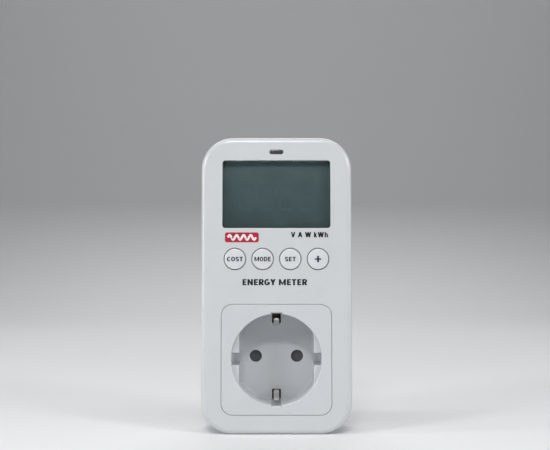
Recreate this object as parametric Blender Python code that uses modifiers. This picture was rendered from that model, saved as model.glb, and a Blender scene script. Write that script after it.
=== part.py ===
"""Plug-in power meter: a mains energy meter that sits between a wall socket and an appliance.

Frame, in metres: the origin is the centre of the plug's pin face, +Y points into the wall,
+X is to the right as seen from the front, and +Z is up. The plug and the socket share the Y axis.
"""

import math

import bpy
import bmesh
from mathutils import Matrix

MM = 0.001
GAP = 0.3 * MM                      # clearance between pieces that touch

# Housing
CASE_WIDTH = 66.8 * MM
CASE_HEIGHT = 131.0 * MM
CASE_CENTRE_Z = 32.8 * MM
CASE_CORNER = 14.2 * MM
FRONT_Y = -50.0 * MM
PARTING_Y = -32.0 * MM
REAR_Y = -18.0 * MM
FRONT_WALL = 2.0 * MM
REAR_WALL = 3.1 * MM
FRONT_FILLET = 2.4 * MM
REAR_FILLET = 2.4 * MM
LIP_INSET = FRONT_WALL + GAP
LIP_THICKNESS = 0.7 * MM
LIP_FRONT_Y = PARTING_Y - 2.0 * MM
FRONT_INNER_Y = FRONT_Y + FRONT_WALL
REAR_INNER_Y = REAR_Y - REAR_WALL

# Case screws, from the back, into bosses of the front shell
CASE_SCREWS = [(-21.4, 92.9), (21.4, 92.9), (-25.4, -24.7), (25.4, -24.7)]
CASE_BOSS_RADIUS = 2.7 * MM
CASE_COLUMN_RADIUS = 3.4 * MM
CASE_HEAD_WELL_RADIUS = 2.75 * MM
CASE_HEAD_SEAT_Y = -28.0 * MM

# Display
WINDOW_WIDTH = 48.0 * MM
WINDOW_HEIGHT = 30.1 * MM
WINDOW_CENTRE_Z = 73.0 * MM
WINDOW_CORNER = 1.3 * MM
WINDOW_FRONT_Y = FRONT_Y + 0.5 * MM
GLASS_WIDTH = 50.6 * MM
GLASS_HEIGHT = 31.0 * MM
GLASS_FRONT_Y = -46.2 * MM
GLASS_BACK_Y = -43.7 * MM
DISPLAY_BOARD_FRONT_Y = -41.6 * MM
BOARD_THICKNESS = 1.6 * MM
DISPLAY_BOARD_BACK_Y = DISPLAY_BOARD_FRONT_Y + BOARD_THICKNESS
DISPLAY_SCREWS = [(-27.6, 44.2), (27.6, 44.2)]

# Indicator light, a slot with round ends above the display
INDICATOR_WIDTH = 6.2 * MM
INDICATOR_HEIGHT = 2.0 * MM
INDICATOR_Z = 91.8 * MM

# Push buttons, in one row
BUTTONS = ["cost", "mode", "set", "plus"]
BUTTON_PITCH = 12.25 * MM
BUTTON_Z = 44.2 * MM
BUTTON_RADIUS = 4.6 * MM
BUTTON_HOLE_RADIUS = BUTTON_RADIUS + GAP
BUTTON_CROWN_Y = FRONT_Y - 0.7 * MM
PLUNGER_RADIUS = 1.6 * MM

# Socket insert
INSERT_WIDTH = 48.6 * MM
INSERT_HEIGHT = 48.4 * MM
INSERT_CORNER = 5.0 * MM
INSERT_BACK_Y = -48.3 * MM
LEDGE_FRONT_Y = INSERT_BACK_Y + GAP
LEDGE_BACK_Y = LEDGE_FRONT_Y + 1.5 * MM
CUP_RADIUS = 21.9 * MM
CUP_BACK_Y = -28.1 * MM
WELL_RADIUS = 19.9 * MM
WELL_FLAT_X = 16.6 * MM
WELL_NOTCH_HALF = 2.7 * MM
MOUTH_RADIUS = WELL_RADIUS + 0.1 * MM
MOUTH_BACK_Y = FRONT_Y + 1.8 * MM
EARTH_CHANNEL_HALF = 2.15 * MM
EARTH_CHANNEL_REACH = 20.3 * MM
EARTH_SLOT_START = 15.0 * MM
FLOOR_Y = FRONT_Y + 17.5 * MM
FLOOR_BACK_Y = FLOOR_Y + 2.0 * MM
CHAMBER_RADIUS = 17.8 * MM
PIN_SPACING = 19.0 * MM
PIN_X = PIN_SPACING / 2
PIN_HOLE_RADIUS = 2.75 * MM
PIVOT_RADIUS = 1.6 * MM

# Shutter behind the pin holes
SHUTTER_RADIUS = 13.0 * MM
SHUTTER_FRONT_Y = FLOOR_BACK_Y + GAP
SHUTTER_BACK_Y = -28.8 * MM
SHUTTER_TURN = math.radians(38.0)

# Contact carrier behind the shutter
CARRIER_RADIUS = 21.5 * MM
CARRIER_FRONT_Y = -27.8 * MM
CARRIER_BACK_Y = -23.5 * MM
CARRIER_SCREWS = [(18.6, 4.6), (-18.6, -4.6)]
CONTACT_RADIUS = 3.3 * MM
CONTACT_BORE = 2.55 * MM
CONTACT_FRONT_Y = -27.5 * MM
CONTACT_BACK_Y = -9.0 * MM
TAB_FRONT_Y = -23.2 * MM
TAB_BACK_Y = -22.4 * MM
TAB_TOP_Z = 29.0 * MM

# Plug
PLUG_RADIUS = 18.6 * MM
PLUG_FLAT_X = 16.2 * MM
PLUG_RIB_HALF = 2.5 * MM
PLUG_FLANGE_RADIUS = 21.5 * MM
PLUG_FLANGE_BACK_Y = REAR_INNER_Y - GAP
PLUG_FLANGE_FRONT_Y = PLUG_FLANGE_BACK_Y - 0.7 * MM
PLUG_POCKET_RADIUS = 13.2 * MM
PLUG_FACE_THICKNESS = 3.0 * MM
EARTH_GROOVE_HALF = 2.9 * MM
EARTH_GROOVE_FLOOR = 16.5 * MM
PIN_RADIUS = 2.4 * MM
PIN_LENGTH = 19.0 * MM

# Power board
POWER_BOARD_FRONT_Y = -25.2 * MM
POWER_BOARD_BACK_Y = POWER_BOARD_FRONT_Y + BOARD_THICKNESS
POWER_BOARD_BOTTOM_Z = 26.0 * MM
POWER_BOARD_TOP_Z = 88.9 * MM
POWER_SCREWS = [(-25.5, 57.0), (25.5, 57.0)]
POWER_PART_Y = POWER_BOARD_FRONT_Y - GAP

# Label plate on the back
PLATE_WIDTH = 36.0 * MM
PLATE_HEIGHT = 30.0 * MM
PLATE_Z = 61.0 * MM
PLATE_DEPTH = 0.6 * MM

OVERLAP = 1.0 * MM                  # how far a cutter runs past the surface that it cuts
CASE_CORNER_STEPS = 6
MANIFOLD_PARTS = {"rear_shell", "socket_insert"}    # the exact solver leaves open edges on these two


# ---------------------------------------------------------------- scene and materials

def clear_scene():
    for obj in list(bpy.data.objects):
        bpy.data.objects.remove(obj, do_unlink=True)


def make_collection(name):
    collection = bpy.data.collections.new(name)
    bpy.context.scene.collection.children.link(collection)
    return collection


clear_scene()
PARTS = make_collection("plug_in_power_meter")
CUTTERS = make_collection("cutters")


def paint(obj, colour, roughness, metallic=0.0):
    """Gives the object its own Principled material."""
    material = bpy.data.materials.new(obj.name)
    material.use_nodes = True
    shader = material.node_tree.nodes["Principled BSDF"]
    shader.inputs["Base Color"].default_value = (*colour, 1.0)
    shader.inputs["Roughness"].default_value = roughness
    shader.inputs["Metallic"].default_value = metallic
    obj.data.materials.clear()
    obj.data.materials.append(material)


WHITE = (0.62, 0.63, 0.65)
CAP_WHITE = (0.70, 0.71, 0.74)
SMOKE = (0.03, 0.03, 0.035)
BOARD_GREEN = (0.02, 0.12, 0.06)
CHIP_BLACK = (0.02, 0.02, 0.022)
BRASS = (0.72, 0.54, 0.25)
NICKEL = (0.66, 0.65, 0.62)
STEEL = (0.55, 0.56, 0.58)


def link(name, mesh, collection):
    obj = bpy.data.objects.new(name, mesh)
    collection.objects.link(obj)
    return obj


def from_bmesh(name, bm, helper):
    mesh = bpy.data.meshes.new(name)
    bm.normal_update()
    bm.to_mesh(mesh)
    bm.free()
    return settle(link(name, mesh, CUTTERS if helper else PARTS), helper)


def settle(obj, helper):
    """Hides a helper from renders, or shades a part smooth where its edges are soft."""
    if helper:
        obj.hide_render = True
        obj.display_type = "WIRE"
    elif obj.type == "MESH":
        obj.data.shade_smooth()
        obj.data.set_sharp_from_angle(angle=math.radians(35.0))
    return obj


# ---------------------------------------------------------------- shapes

def prism(name, size, centre, y_span, corner=0.0, corner_steps=4, fillet=0.0, fillet_end="front",
          helper=False, open_end=None):
    """A block of size (x, z) about centre (x, z), with round upright corners and a filleted end.

    open_end, "front" or "back", leaves that end without its face.
    """
    y_front, y_back = y_span
    bm = bmesh.new()
    bmesh.ops.create_cube(bm, size=1.0)
    bmesh.ops.scale(bm, vec=(size[0], y_back - y_front, size[1]), verts=bm.verts)
    bmesh.ops.translate(bm, vec=(centre[0], (y_front + y_back) / 2, centre[1]), verts=bm.verts)
    if corner > 0.0:
        upright = [e for e in bm.edges
                   if abs(e.verts[0].co.y - e.verts[1].co.y) > (y_back - y_front) / 2]
        bmesh.ops.bevel(bm, geom=upright, offset=corner, segments=corner_steps,
                        affect="EDGES", profile=0.5)
    if fillet > 0.0:
        bevel_end(bm, y_front if fillet_end == "front" else y_back, fillet)
    if open_end:
        y_open = y_front if open_end == "front" else y_back
        lid = [f for f in bm.faces if all(abs(v.co.y - y_open) < 1e-6 for v in f.verts)]
        bmesh.ops.delete(bm, geom=lid, context="FACES_ONLY")
    return from_bmesh(name, bm, helper)


def bevel_end(bm, y_end, width, steps=2):
    """Rounds every edge that lies in the plane y = y_end."""
    rim = [e for e in bm.edges if all(abs(v.co.y - y_end) < 1e-6 for v in e.verts)]
    bmesh.ops.bevel(bm, geom=rim, offset=width, segments=steps, affect="EDGES", profile=0.5)


def box(name, x_span, y_span, z_span, helper=False):
    size = (x_span[1] - x_span[0], z_span[1] - z_span[0])
    centre = ((x_span[0] + x_span[1]) / 2, (z_span[0] + z_span[1]) / 2)
    return prism(name, size, centre, y_span, helper=helper)


def rod(name, radius, y_span, centre=(0.0, 0.0), sides=20, end_bevel=0.0, helper=False):
    """A cylinder along Y."""
    y_front, y_back = y_span
    bm = bmesh.new()
    place = (Matrix.Translation((centre[0], (y_front + y_back) / 2, centre[1]))
             @ Matrix.Rotation(-math.pi / 2, 4, "X"))
    bmesh.ops.create_cone(bm, cap_ends=True, segments=sides, radius1=radius, radius2=radius,
                          depth=y_back - y_front, matrix=place)
    if end_bevel > 0.0:
        bevel_end(bm, y_back, end_bevel, steps=2)
    return from_bmesh(name, bm, helper)


def turned(name, profile, centre=(0.0, 0.0), steps=20, helper=False):
    """A solid of revolution about a Y axis. profile lists (radius, y) from the wall side forward."""
    mesh = bpy.data.meshes.new(name)
    edges = [(i, i + 1) for i in range(len(profile) - 1)]
    mesh.from_pydata([(radius, 0.0, y) for radius, y in profile], edges, [])
    obj = link(name, mesh, CUTTERS if helper else PARTS)
    obj.location = (centre[0], 0.0, centre[1])
    obj.rotation_euler = (-math.pi / 2, 0.0, 0.0)
    screw = obj.modifiers.new("turn", "SCREW")
    screw.axis = "Z"
    screw.steps = screw.render_steps = steps
    screw.use_merge_vertices = True
    screw.merge_threshold = 0.01 * MM
    screw.use_smooth_shade = True
    return settle(obj, helper)


def outline_prism(name, points, y_span, helper=False):
    """A flat outline of (x, z) points, made a solid that runs along Y."""
    y_front, y_back = y_span
    curve = bpy.data.curves.new(name, "CURVE")
    curve.dimensions = "2D"
    curve.fill_mode = "BOTH"
    curve.extrude = (y_back - y_front) / 2
    spline = curve.splines.new("POLY")
    spline.points.add(len(points) - 1)
    for point, (x, z) in zip(spline.points, points):
        point.co = (x, z, 0.0, 1.0)
    spline.use_cyclic_u = True
    guide = link(name + "_outline", curve, CUTTERS)
    guide.location = (0.0, (y_front + y_back) / 2, 0.0)
    guide.rotation_euler = (math.pi / 2, 0.0, 0.0)
    return mesh_of_curve(name, guide, helper)


def mesh_of_curve(name, guide, helper):
    """Replaces a curve object by a welded mesh object of the same shape and place."""
    depsgraph = bpy.context.evaluated_depsgraph_get()
    mesh = bpy.data.meshes.new_from_object(guide.evaluated_get(depsgraph))
    bm = bmesh.new()
    bm.from_mesh(mesh)
    bmesh.ops.remove_doubles(bm, verts=bm.verts, dist=0.001 * MM)
    bmesh.ops.recalc_face_normals(bm, faces=bm.faces)
    bm.to_mesh(mesh)
    bm.free()
    obj = link(name, mesh, CUTTERS if helper else PARTS)
    obj.matrix_world = guide.matrix_world.copy()
    bpy.data.objects.remove(guide, do_unlink=True)
    return settle(obj, helper)


def strip(name, path, width, thickness):
    """A bent metal strip: path lists (y, z) along its middle, and its width runs along X."""
    bm = bmesh.new()
    row = [bm.verts.new((-width / 2, y, z)) for y, z in path]
    edges = [bm.edges.new(pair) for pair in zip(row, row[1:])]
    grown = bmesh.ops.extrude_edge_only(bm, edges=edges)["geom"]
    far_side = [g for g in grown if isinstance(g, bmesh.types.BMVert)]
    bmesh.ops.translate(bm, vec=(width, 0.0, 0.0), verts=far_side)
    obj = from_bmesh(name, bm, helper=False)
    solidify = obj.modifiers.new("thickness", "SOLIDIFY")
    solidify.thickness = thickness
    solidify.offset = 0.0
    solidify.use_even_offset = True
    return obj


def wire(name, points, radius, resolution=2):
    """A round wire along a list of points."""
    curve = bpy.data.curves.new(name, "CURVE")
    curve.dimensions = "3D"
    curve.bevel_depth = radius
    curve.bevel_resolution = resolution
    curve.use_fill_caps = True
    spline = curve.splines.new("POLY")
    spline.points.add(len(points) - 1)
    for point, co in zip(spline.points, points):
        point.co = (*co, 1.0)
    return link(name, curve, PARTS)


def boolean(obj, operation, tool):
    modifier = obj.modifiers.new(tool.name, "BOOLEAN")
    modifier.operation = operation
    modifier.solver = "MANIFOLD" if obj.name in MANIFOLD_PARTS else "EXACT"
    modifier.object = tool


def join(obj, *tools):
    for tool in tools:
        boolean(obj, "UNION", tool)


def cut(obj, *tools):
    for tool in tools:
        boolean(obj, "DIFFERENCE", tool)


def arc(radius, start, end, steps):
    """Points on a circle about the Y axis, from angle start to angle end, both included."""
    return [(radius * math.cos(start + (end - start) * i / steps),
             radius * math.sin(start + (end - start) * i / steps)) for i in range(steps + 1)]


def millimetres(places):
    return [(x * MM, z * MM) for x, z in places]


def smooth_path(corners, radius, steps=4):
    """Rounds each inner corner of a path of 3D points with a quadratic blend."""
    points = [corners[0]]
    for before, corner, after in zip(corners, corners[1:], corners[2:]):
        start = toward(corner, before, radius)
        end = toward(corner, after, radius)
        for i in range(steps + 1):
            t = i / steps
            points.append(tuple((1 - t) ** 2 * a + 2 * t * (1 - t) * b + t ** 2 * c
                                for a, b, c in zip(start, corner, end)))
    points.append(corners[-1])
    return points


def toward(start, end, distance):
    length = math.dist(start, end)
    return tuple(a + (b - a) * distance / length for a, b in zip(start, end))


# ---------------------------------------------------------------- housing

def shell(name, y_face, wall, fillet, face_end):
    """One half of the case: an open tray with a filleted face, thickened inward."""
    if face_end == "front":
        y_span = (y_face, PARTING_Y - GAP / 2)
        open_end = "back"
    else:
        y_span = (PARTING_Y + GAP / 2, y_face)
        open_end = "front"
    tray = prism(name, (CASE_WIDTH, CASE_HEIGHT), (0.0, CASE_CENTRE_Z), y_span,
                 corner=CASE_CORNER, corner_steps=CASE_CORNER_STEPS, fillet=fillet, fillet_end=face_end,
                 open_end=open_end)
    solidify = tray.modifiers.new("wall", "SOLIDIFY")
    solidify.thickness = wall
    solidify.offset = -1.0
    solidify.use_even_offset = True
    return tray


def button_places():
    first = -BUTTON_PITCH * (len(BUTTONS) - 1) / 2
    return [(first + BUTTON_PITCH * i, BUTTON_Z) for i in range(len(BUTTONS))]


def make_front_shell():
    obj = shell("front_shell", FRONT_Y, FRONT_WALL, FRONT_FILLET, "front")
    join(obj, prism("ledge_block", (54.0 * MM, 54.0 * MM), (0.0, 0.0),
                    (FRONT_Y + FRONT_WALL / 2, LEDGE_BACK_Y), corner=6.0 * MM, helper=True))
    boss_front = FRONT_Y + FRONT_WALL / 2
    for i, place in enumerate(millimetres(CASE_SCREWS), 1):
        join(obj, rod(f"case_boss_{i}", CASE_BOSS_RADIUS, (boss_front, LIP_FRONT_Y - GAP),
                      place, sides=12, helper=True))
    for i, place in enumerate(millimetres(DISPLAY_SCREWS), 1):
        join(obj, rod(f"display_boss_{i}", 2.3 * MM, (boss_front, DISPLAY_BOARD_FRONT_Y - GAP),
                      place, sides=12, helper=True))
    pocket = (INSERT_WIDTH + 2 * GAP, INSERT_HEIGHT + 2 * GAP)
    cut(obj, prism("insert_pocket", pocket, (0.0, 0.0), (FRONT_Y - OVERLAP, LEDGE_FRONT_Y),
                   corner=INSERT_CORNER + GAP, helper=True))
    cut(obj, rod("cup_opening", CUP_RADIUS + GAP, (FRONT_Y - OVERLAP, LEDGE_BACK_Y + OVERLAP),
                 sides=44, helper=True))
    through = (FRONT_Y - OVERLAP, FRONT_INNER_Y + OVERLAP)
    cut(obj, prism("window_opening", (WINDOW_WIDTH, WINDOW_HEIGHT), (0.0, WINDOW_CENTRE_Z), through,
                   corner=WINDOW_CORNER, corner_steps=3, helper=True))
    for name, place in zip(BUTTONS, button_places()):
        cut(obj, rod(f"{name}_hole", BUTTON_HOLE_RADIUS, through, place, helper=True))
    cut(obj, prism("indicator_slot", (INDICATOR_WIDTH, INDICATOR_HEIGHT), (0.0, INDICATOR_Z), through,
                   corner=INDICATOR_HEIGHT / 2 - 0.01 * MM, corner_steps=4, helper=True))
    for i, place in enumerate(millimetres(CASE_SCREWS), 1):
        cut(obj, rod(f"case_thread_{i}", 1.5 * MM, (-45.5 * MM, LIP_FRONT_Y + OVERLAP), place,
                     sides=12, helper=True))
    for i, place in enumerate(millimetres(DISPLAY_SCREWS), 1):
        cut(obj, rod(f"display_thread_{i}", 1.3 * MM, (-47.0 * MM, DISPLAY_BOARD_FRONT_Y + OVERLAP),
                     place, sides=12, helper=True))
    paint(obj, WHITE, 0.45)


def make_lip():
    """The ring that stands out of the rear shell and fits inside the front shell."""
    size = (CASE_WIDTH - 2 * LIP_INSET, CASE_HEIGHT - 2 * LIP_INSET)
    lip = prism("locating_lip", size, (0.0, CASE_CENTRE_Z), (LIP_FRONT_Y, PARTING_Y + 3.0 * MM),
                corner=CASE_CORNER - LIP_INSET, corner_steps=CASE_CORNER_STEPS, helper=True)
    inner = (size[0] - 2 * LIP_THICKNESS, size[1] - 2 * LIP_THICKNESS)
    inner_corner = CASE_CORNER - LIP_INSET - LIP_THICKNESS
    cut(lip, prism("lip_inside", inner, (0.0, CASE_CENTRE_Z),
                   (LIP_FRONT_Y - OVERLAP, PARTING_Y + 4.0 * MM),
                   corner=inner_corner, corner_steps=CASE_CORNER_STEPS, helper=True))
    return lip


def make_rear_shell():
    obj = shell("rear_shell", REAR_Y, REAR_WALL, REAR_FILLET, "back")
    join(obj, make_lip())
    rooted = REAR_Y - REAR_WALL / 2
    for i, place in enumerate(millimetres(CASE_SCREWS), 1):
        join(obj, rod(f"case_column_{i}", CASE_COLUMN_RADIUS, (PARTING_Y + GAP, rooted), place,
                      sides=12, helper=True))
        join(obj, rod(f"case_spigot_{i}", CASE_BOSS_RADIUS - 0.1 * MM,
                      (LIP_FRONT_Y, PARTING_Y + OVERLAP), place, sides=12, helper=True))
    for i, place in enumerate(millimetres(POWER_SCREWS), 1):
        join(obj, rod(f"power_boss_{i}", 2.4 * MM, (POWER_BOARD_BACK_Y + GAP, rooted), place,
                      sides=12, helper=True))
    cut(obj, rod("plug_opening", PLUG_RADIUS + GAP, (REAR_INNER_Y - OVERLAP, REAR_Y + OVERLAP),
                 sides=44, helper=True))
    cut(obj, box("plate_pocket", (-PLATE_WIDTH / 2 - GAP, PLATE_WIDTH / 2 + GAP),
                 (REAR_Y - PLATE_DEPTH, REAR_Y + OVERLAP),
                 (PLATE_Z - PLATE_HEIGHT / 2 - GAP, PLATE_Z + PLATE_HEIGHT / 2 + GAP), helper=True))
    for i, place in enumerate(millimetres(CASE_SCREWS), 1):
        cut(obj, rod(f"head_well_{i}", CASE_HEAD_WELL_RADIUS, (CASE_HEAD_SEAT_Y, REAR_Y + OVERLAP),
                     place, sides=16, helper=True))
        cut(obj, rod(f"shank_hole_{i}", 1.5 * MM, (LIP_FRONT_Y - OVERLAP, CASE_HEAD_SEAT_Y + OVERLAP),
                     place, sides=12, helper=True))
    for i, place in enumerate(millimetres(POWER_SCREWS), 1):
        cut(obj, rod(f"power_thread_{i}", 1.3 * MM, (POWER_BOARD_BACK_Y - OVERLAP, -19.6 * MM), place,
                     sides=12, helper=True))
    paint(obj, WHITE, 0.5)


def make_rating_plate():
    obj = box("rating_plate", (-PLATE_WIDTH / 2, PLATE_WIDTH / 2), (REAR_Y - GAP, REAR_Y),
              (PLATE_Z - PLATE_HEIGHT / 2, PLATE_Z + PLATE_HEIGHT / 2))
    paint(obj, (0.35, 0.36, 0.37), 0.35)


def screw(name, place, seat_y, head_radius, head_height, shank_radius, tip_y):
    """A pan-head screw along Y. Its head stands on seat_y, and its shank ends at tip_y."""
    outward = 1.0 if tip_y < seat_y else -1.0
    head_y = seat_y + outward * head_height
    profile = [(0.0, head_y), (head_radius * 0.7, head_y),
               (head_radius, head_y - outward * head_height * 0.4), (head_radius, seat_y),
               (shank_radius, seat_y), (shank_radius, tip_y + outward * 0.8 * MM), (0.0, tip_y)]
    if outward < 0.0:
        profile.reverse()
    obj = turned(name, profile, place, steps=12)
    paint(obj, STEEL, 0.35, 1.0)


def make_screws():
    for i, place in enumerate(millimetres(CASE_SCREWS), 1):
        screw(f"case_screw_{i}", place, CASE_HEAD_SEAT_Y + GAP, 2.4 * MM, 1.8 * MM, 1.2 * MM, -43.0 * MM)
    for side, place in zip(["left", "right"], millimetres(DISPLAY_SCREWS)):
        screw(f"display_board_screw_{side}", place, DISPLAY_BOARD_BACK_Y + GAP, 1.9 * MM, 1.3 * MM,
              1.0 * MM, -46.0 * MM)
    for side, place in zip(["left", "right"], millimetres(POWER_SCREWS)):
        screw(f"power_board_screw_{side}", place, POWER_BOARD_FRONT_Y - GAP, 1.9 * MM, 1.3 * MM,
              1.0 * MM, -20.2 * MM)
    for side, place in zip(["right", "left"], millimetres(CARRIER_SCREWS)):
        screw(f"carrier_screw_{side}", place, CARRIER_BACK_Y - 1.2 * MM, 1.8 * MM, 1.0 * MM,
              1.0 * MM, -36.5 * MM)


# ---------------------------------------------------------------- display and indicator

def make_display_window():
    obj = prism("display_window", (WINDOW_WIDTH - 2 * GAP, WINDOW_HEIGHT - 2 * GAP),
                (0.0, WINDOW_CENTRE_Z), (WINDOW_FRONT_Y, FRONT_INNER_Y + 1.0 * MM),
                corner=WINDOW_CORNER - GAP, corner_steps=3)
    join(obj, prism("window_flange", (52.0 * MM, 33.4 * MM), (0.0, WINDOW_CENTRE_Z),
                    (FRONT_INNER_Y + GAP, FRONT_INNER_Y + 1.3 * MM), corner=2.0 * MM, corner_steps=3,
                    helper=True))
    paint(obj, SMOKE, 0.05)


def make_indicator():
    lens = prism("indicator_lens", (INDICATOR_WIDTH - 2 * GAP, INDICATOR_HEIGHT - 2 * GAP),
                 (0.0, INDICATOR_Z), (FRONT_Y + 0.2 * MM, -43.6 * MM),
                 corner=INDICATOR_HEIGHT / 2 - GAP - 0.01 * MM, corner_steps=4)
    join(lens, prism("lens_flange", (8.0 * MM, 2.5 * MM), (0.0, INDICATOR_Z),
                     (FRONT_INNER_Y + GAP, FRONT_INNER_Y + 1.1 * MM), corner=1.0 * MM, corner_steps=3,
                     helper=True))
    paint(lens, (0.10, 0.06, 0.06), 0.15)
    led = prism("indicator_led", (3.2 * MM, 1.6 * MM), (0.0, INDICATOR_Z),
                (-43.2 * MM, DISPLAY_BOARD_FRONT_Y - GAP), fillet=0.3 * MM)
    paint(led, (0.75, 0.72, 0.60), 0.3)


def make_lcd():
    centre = (0.0, WINDOW_CENTRE_Z)
    glass = box("lcd_glass", (-GLASS_WIDTH / 2, GLASS_WIDTH / 2), (GLASS_FRONT_Y, GLASS_BACK_Y),
                (WINDOW_CENTRE_Z - GLASS_HEIGHT / 2, WINDOW_CENTRE_Z + GLASS_HEIGHT / 2))
    paint(glass, (0.06, 0.08, 0.085), 0.25)
    frame = prism("lcd_frame", (54.0 * MM, 34.4 * MM), centre, (-46.4 * MM, -41.9 * MM),
                  corner=1.2 * MM, corner_steps=2)
    cut(frame, prism("frame_window", (GLASS_WIDTH + 2 * GAP, GLASS_HEIGHT + 2 * GAP), centre,
                     (-46.4 * MM - OVERLAP, -41.9 * MM + OVERLAP), helper=True))
    paint(frame, (0.03, 0.03, 0.03), 0.5)
    half = GLASS_WIDTH / 2 - 0.2 * MM
    backlight = box("backlight_panel", (-half, half), (GLASS_BACK_Y + GAP, -42.0 * MM),
                    (WINDOW_CENTRE_Z - 12.0 * MM, WINDOW_CENTRE_Z + 15.3 * MM))
    paint(backlight, (0.78, 0.80, 0.78), 0.4)
    zebra = box("zebra_strip", (-24.0 * MM, 24.0 * MM), (GLASS_BACK_Y + GAP, -41.9 * MM),
                (WINDOW_CENTRE_Z - 14.9 * MM, WINDOW_CENTRE_Z - 12.6 * MM))
    paint(zebra, (0.30, 0.25, 0.24), 0.8)


def make_display_board():
    board = box("display_board", (-29.8 * MM, 29.8 * MM), (DISPLAY_BOARD_FRONT_Y, DISPLAY_BOARD_BACK_Y),
                (38.0 * MM, 95.5 * MM))
    span = (DISPLAY_BOARD_FRONT_Y - OVERLAP, DISPLAY_BOARD_BACK_Y + OVERLAP)
    for side, x_span in (("left", (-31.0 * MM, -18.2 * MM)), ("right", (18.2 * MM, 31.0 * MM))):
        cut(board, box(f"board_corner_{side}", x_span, span, (88.9 * MM, 97.0 * MM), helper=True))
    for i, place in enumerate(millimetres(DISPLAY_SCREWS), 1):
        cut(board, rod(f"display_board_hole_{i}", 1.3 * MM, span, place, sides=12, helper=True))
    paint(board, BOARD_GREEN, 0.4)
    back = DISPLAY_BOARD_BACK_Y + GAP
    chip = prism("controller_chip", (12.0 * MM, 12.0 * MM), (-6.0 * MM, 72.0 * MM), (back, back + 1.4 * MM),
                 fillet=0.3 * MM, fillet_end="back")
    paint(chip, CHIP_BLACK, 0.5)
    crystal = wire("timing_crystal", [(6.0 * MM, back + 1.0 * MM, 68.0 * MM),
                                      (6.0 * MM, back + 1.0 * MM, 74.0 * MM)], 1.0 * MM, 3)
    paint(crystal, NICKEL, 0.25, 1.0)


# ---------------------------------------------------------------- buttons and switches

def make_button(name, place):
    crown, shoulder = BUTTON_CROWN_Y, FRONT_Y - 0.1 * MM
    profile = [(0.0, -45.9 * MM), (1.5 * MM, -45.9 * MM), (1.5 * MM, -46.6 * MM),
               (5.7 * MM, -46.6 * MM), (5.7 * MM, FRONT_INNER_Y + GAP),
               (BUTTON_RADIUS, FRONT_INNER_Y + GAP), (BUTTON_RADIUS, shoulder),
               (BUTTON_RADIUS - 0.35 * MM, shoulder - 0.35 * MM),
               (BUTTON_RADIUS * 0.5, crown + 0.08 * MM), (0.0, crown)]
    cap = turned(f"button_{name}", profile, place, steps=20)
    paint(cap, CAP_WHITE, 0.25)
    plunger = rod(f"switch_plunger_{name}", PLUNGER_RADIUS, (-45.6 * MM, -43.0 * MM), place, sides=16)
    paint(plunger, (0.10, 0.10, 0.10), 0.5)
    body = prism(f"switch_body_{name}", (6.0 * MM, 6.0 * MM), place,
                 (-44.6 * MM, DISPLAY_BOARD_FRONT_Y - GAP), corner=0.4 * MM, corner_steps=1)
    cut(body, rod(f"{name}_plunger_hole", PLUNGER_RADIUS + GAP, (-45.6 * MM, -42.3 * MM), place,
                  sides=16, helper=True))
    paint(body, CHIP_BLACK, 0.5)


# ---------------------------------------------------------------- socket

def well_outline():
    """The plan of the socket well: a circle with side flats, guide notches and earth channels."""
    flat_angle = math.acos(WELL_FLAT_X / WELL_RADIUS)
    notch_angle = math.asin(WELL_NOTCH_HALF / WELL_RADIUS)
    channel_angle = math.acos(EARTH_CHANNEL_HALF / WELL_RADIUS)
    quarter = [(WELL_FLAT_X, WELL_NOTCH_HALF)]
    quarter += arc(WELL_RADIUS, flat_angle, channel_angle, 10)
    quarter += [(EARTH_CHANNEL_HALF, EARTH_CHANNEL_REACH)]
    notch = arc(WELL_RADIUS, -notch_angle, notch_angle, 3)
    upper = quarter + [(-x, z) for x, z in reversed(quarter)]
    left_notch = [(-x, z) for x, z in reversed(notch)]
    return notch + upper + left_notch + [(-x, -z) for x, z in upper]


def make_socket_insert():
    obj = prism("socket_insert", (INSERT_WIDTH, INSERT_HEIGHT), (0.0, 0.0), (FRONT_Y, INSERT_BACK_Y),
                corner=INSERT_CORNER)
    join(obj, rod("cup", CUP_RADIUS, (INSERT_BACK_Y - OVERLAP, CUP_BACK_Y), sides=44, helper=True))
    hook_y = (LEDGE_BACK_Y + GAP, LEDGE_BACK_Y + 1.6 * MM)
    join(obj, box("hooks", (-CUP_RADIUS - 1.5 * MM, CUP_RADIUS + 1.5 * MM), hook_y,
                  (-3.5 * MM, 3.5 * MM), helper=True))
    cut(obj, rod("mouth", MOUTH_RADIUS, (FRONT_Y - OVERLAP, MOUTH_BACK_Y), sides=44, helper=True))
    cut(obj, outline_prism("well", well_outline(), (FRONT_Y - 2 * OVERLAP, FLOOR_Y), helper=True))
    cut(obj, rod("shutter_chamber", CHAMBER_RADIUS, (FLOOR_BACK_Y, CUP_BACK_Y + OVERLAP), sides=44,
                 helper=True))
    for side, sign in (("left", -1.0), ("right", 1.0)):
        cut(obj, rod(f"pin_hole_{side}", PIN_HOLE_RADIUS, (FLOOR_Y - OVERLAP, FLOOR_BACK_Y + OVERLAP),
                     (sign * PIN_X, 0.0), helper=True))
    slot_end = EARTH_CHANNEL_REACH - 0.3 * MM
    slots = {"top": (EARTH_SLOT_START, slot_end), "bottom": (-slot_end, -EARTH_SLOT_START)}
    for level, z_span in slots.items():
        cut(obj, box(f"earth_slot_{level}", (-2.0 * MM, 2.0 * MM),
                     (FLOOR_Y - OVERLAP, CUP_BACK_Y + OVERLAP), z_span, helper=True))
    for i, place in enumerate(millimetres(CARRIER_SCREWS), 1):
        cut(obj, rod(f"carrier_thread_{i}", 1.3 * MM, (-38.0 * MM, CUP_BACK_Y + OVERLAP), place,
                     sides=12, helper=True))
    join(obj, rod("shutter_pivot", PIVOT_RADIUS, (FLOOR_BACK_Y - OVERLAP, SHUTTER_BACK_Y + GAP),
                  sides=20, helper=True))
    paint(obj, WHITE, 0.4)


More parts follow.
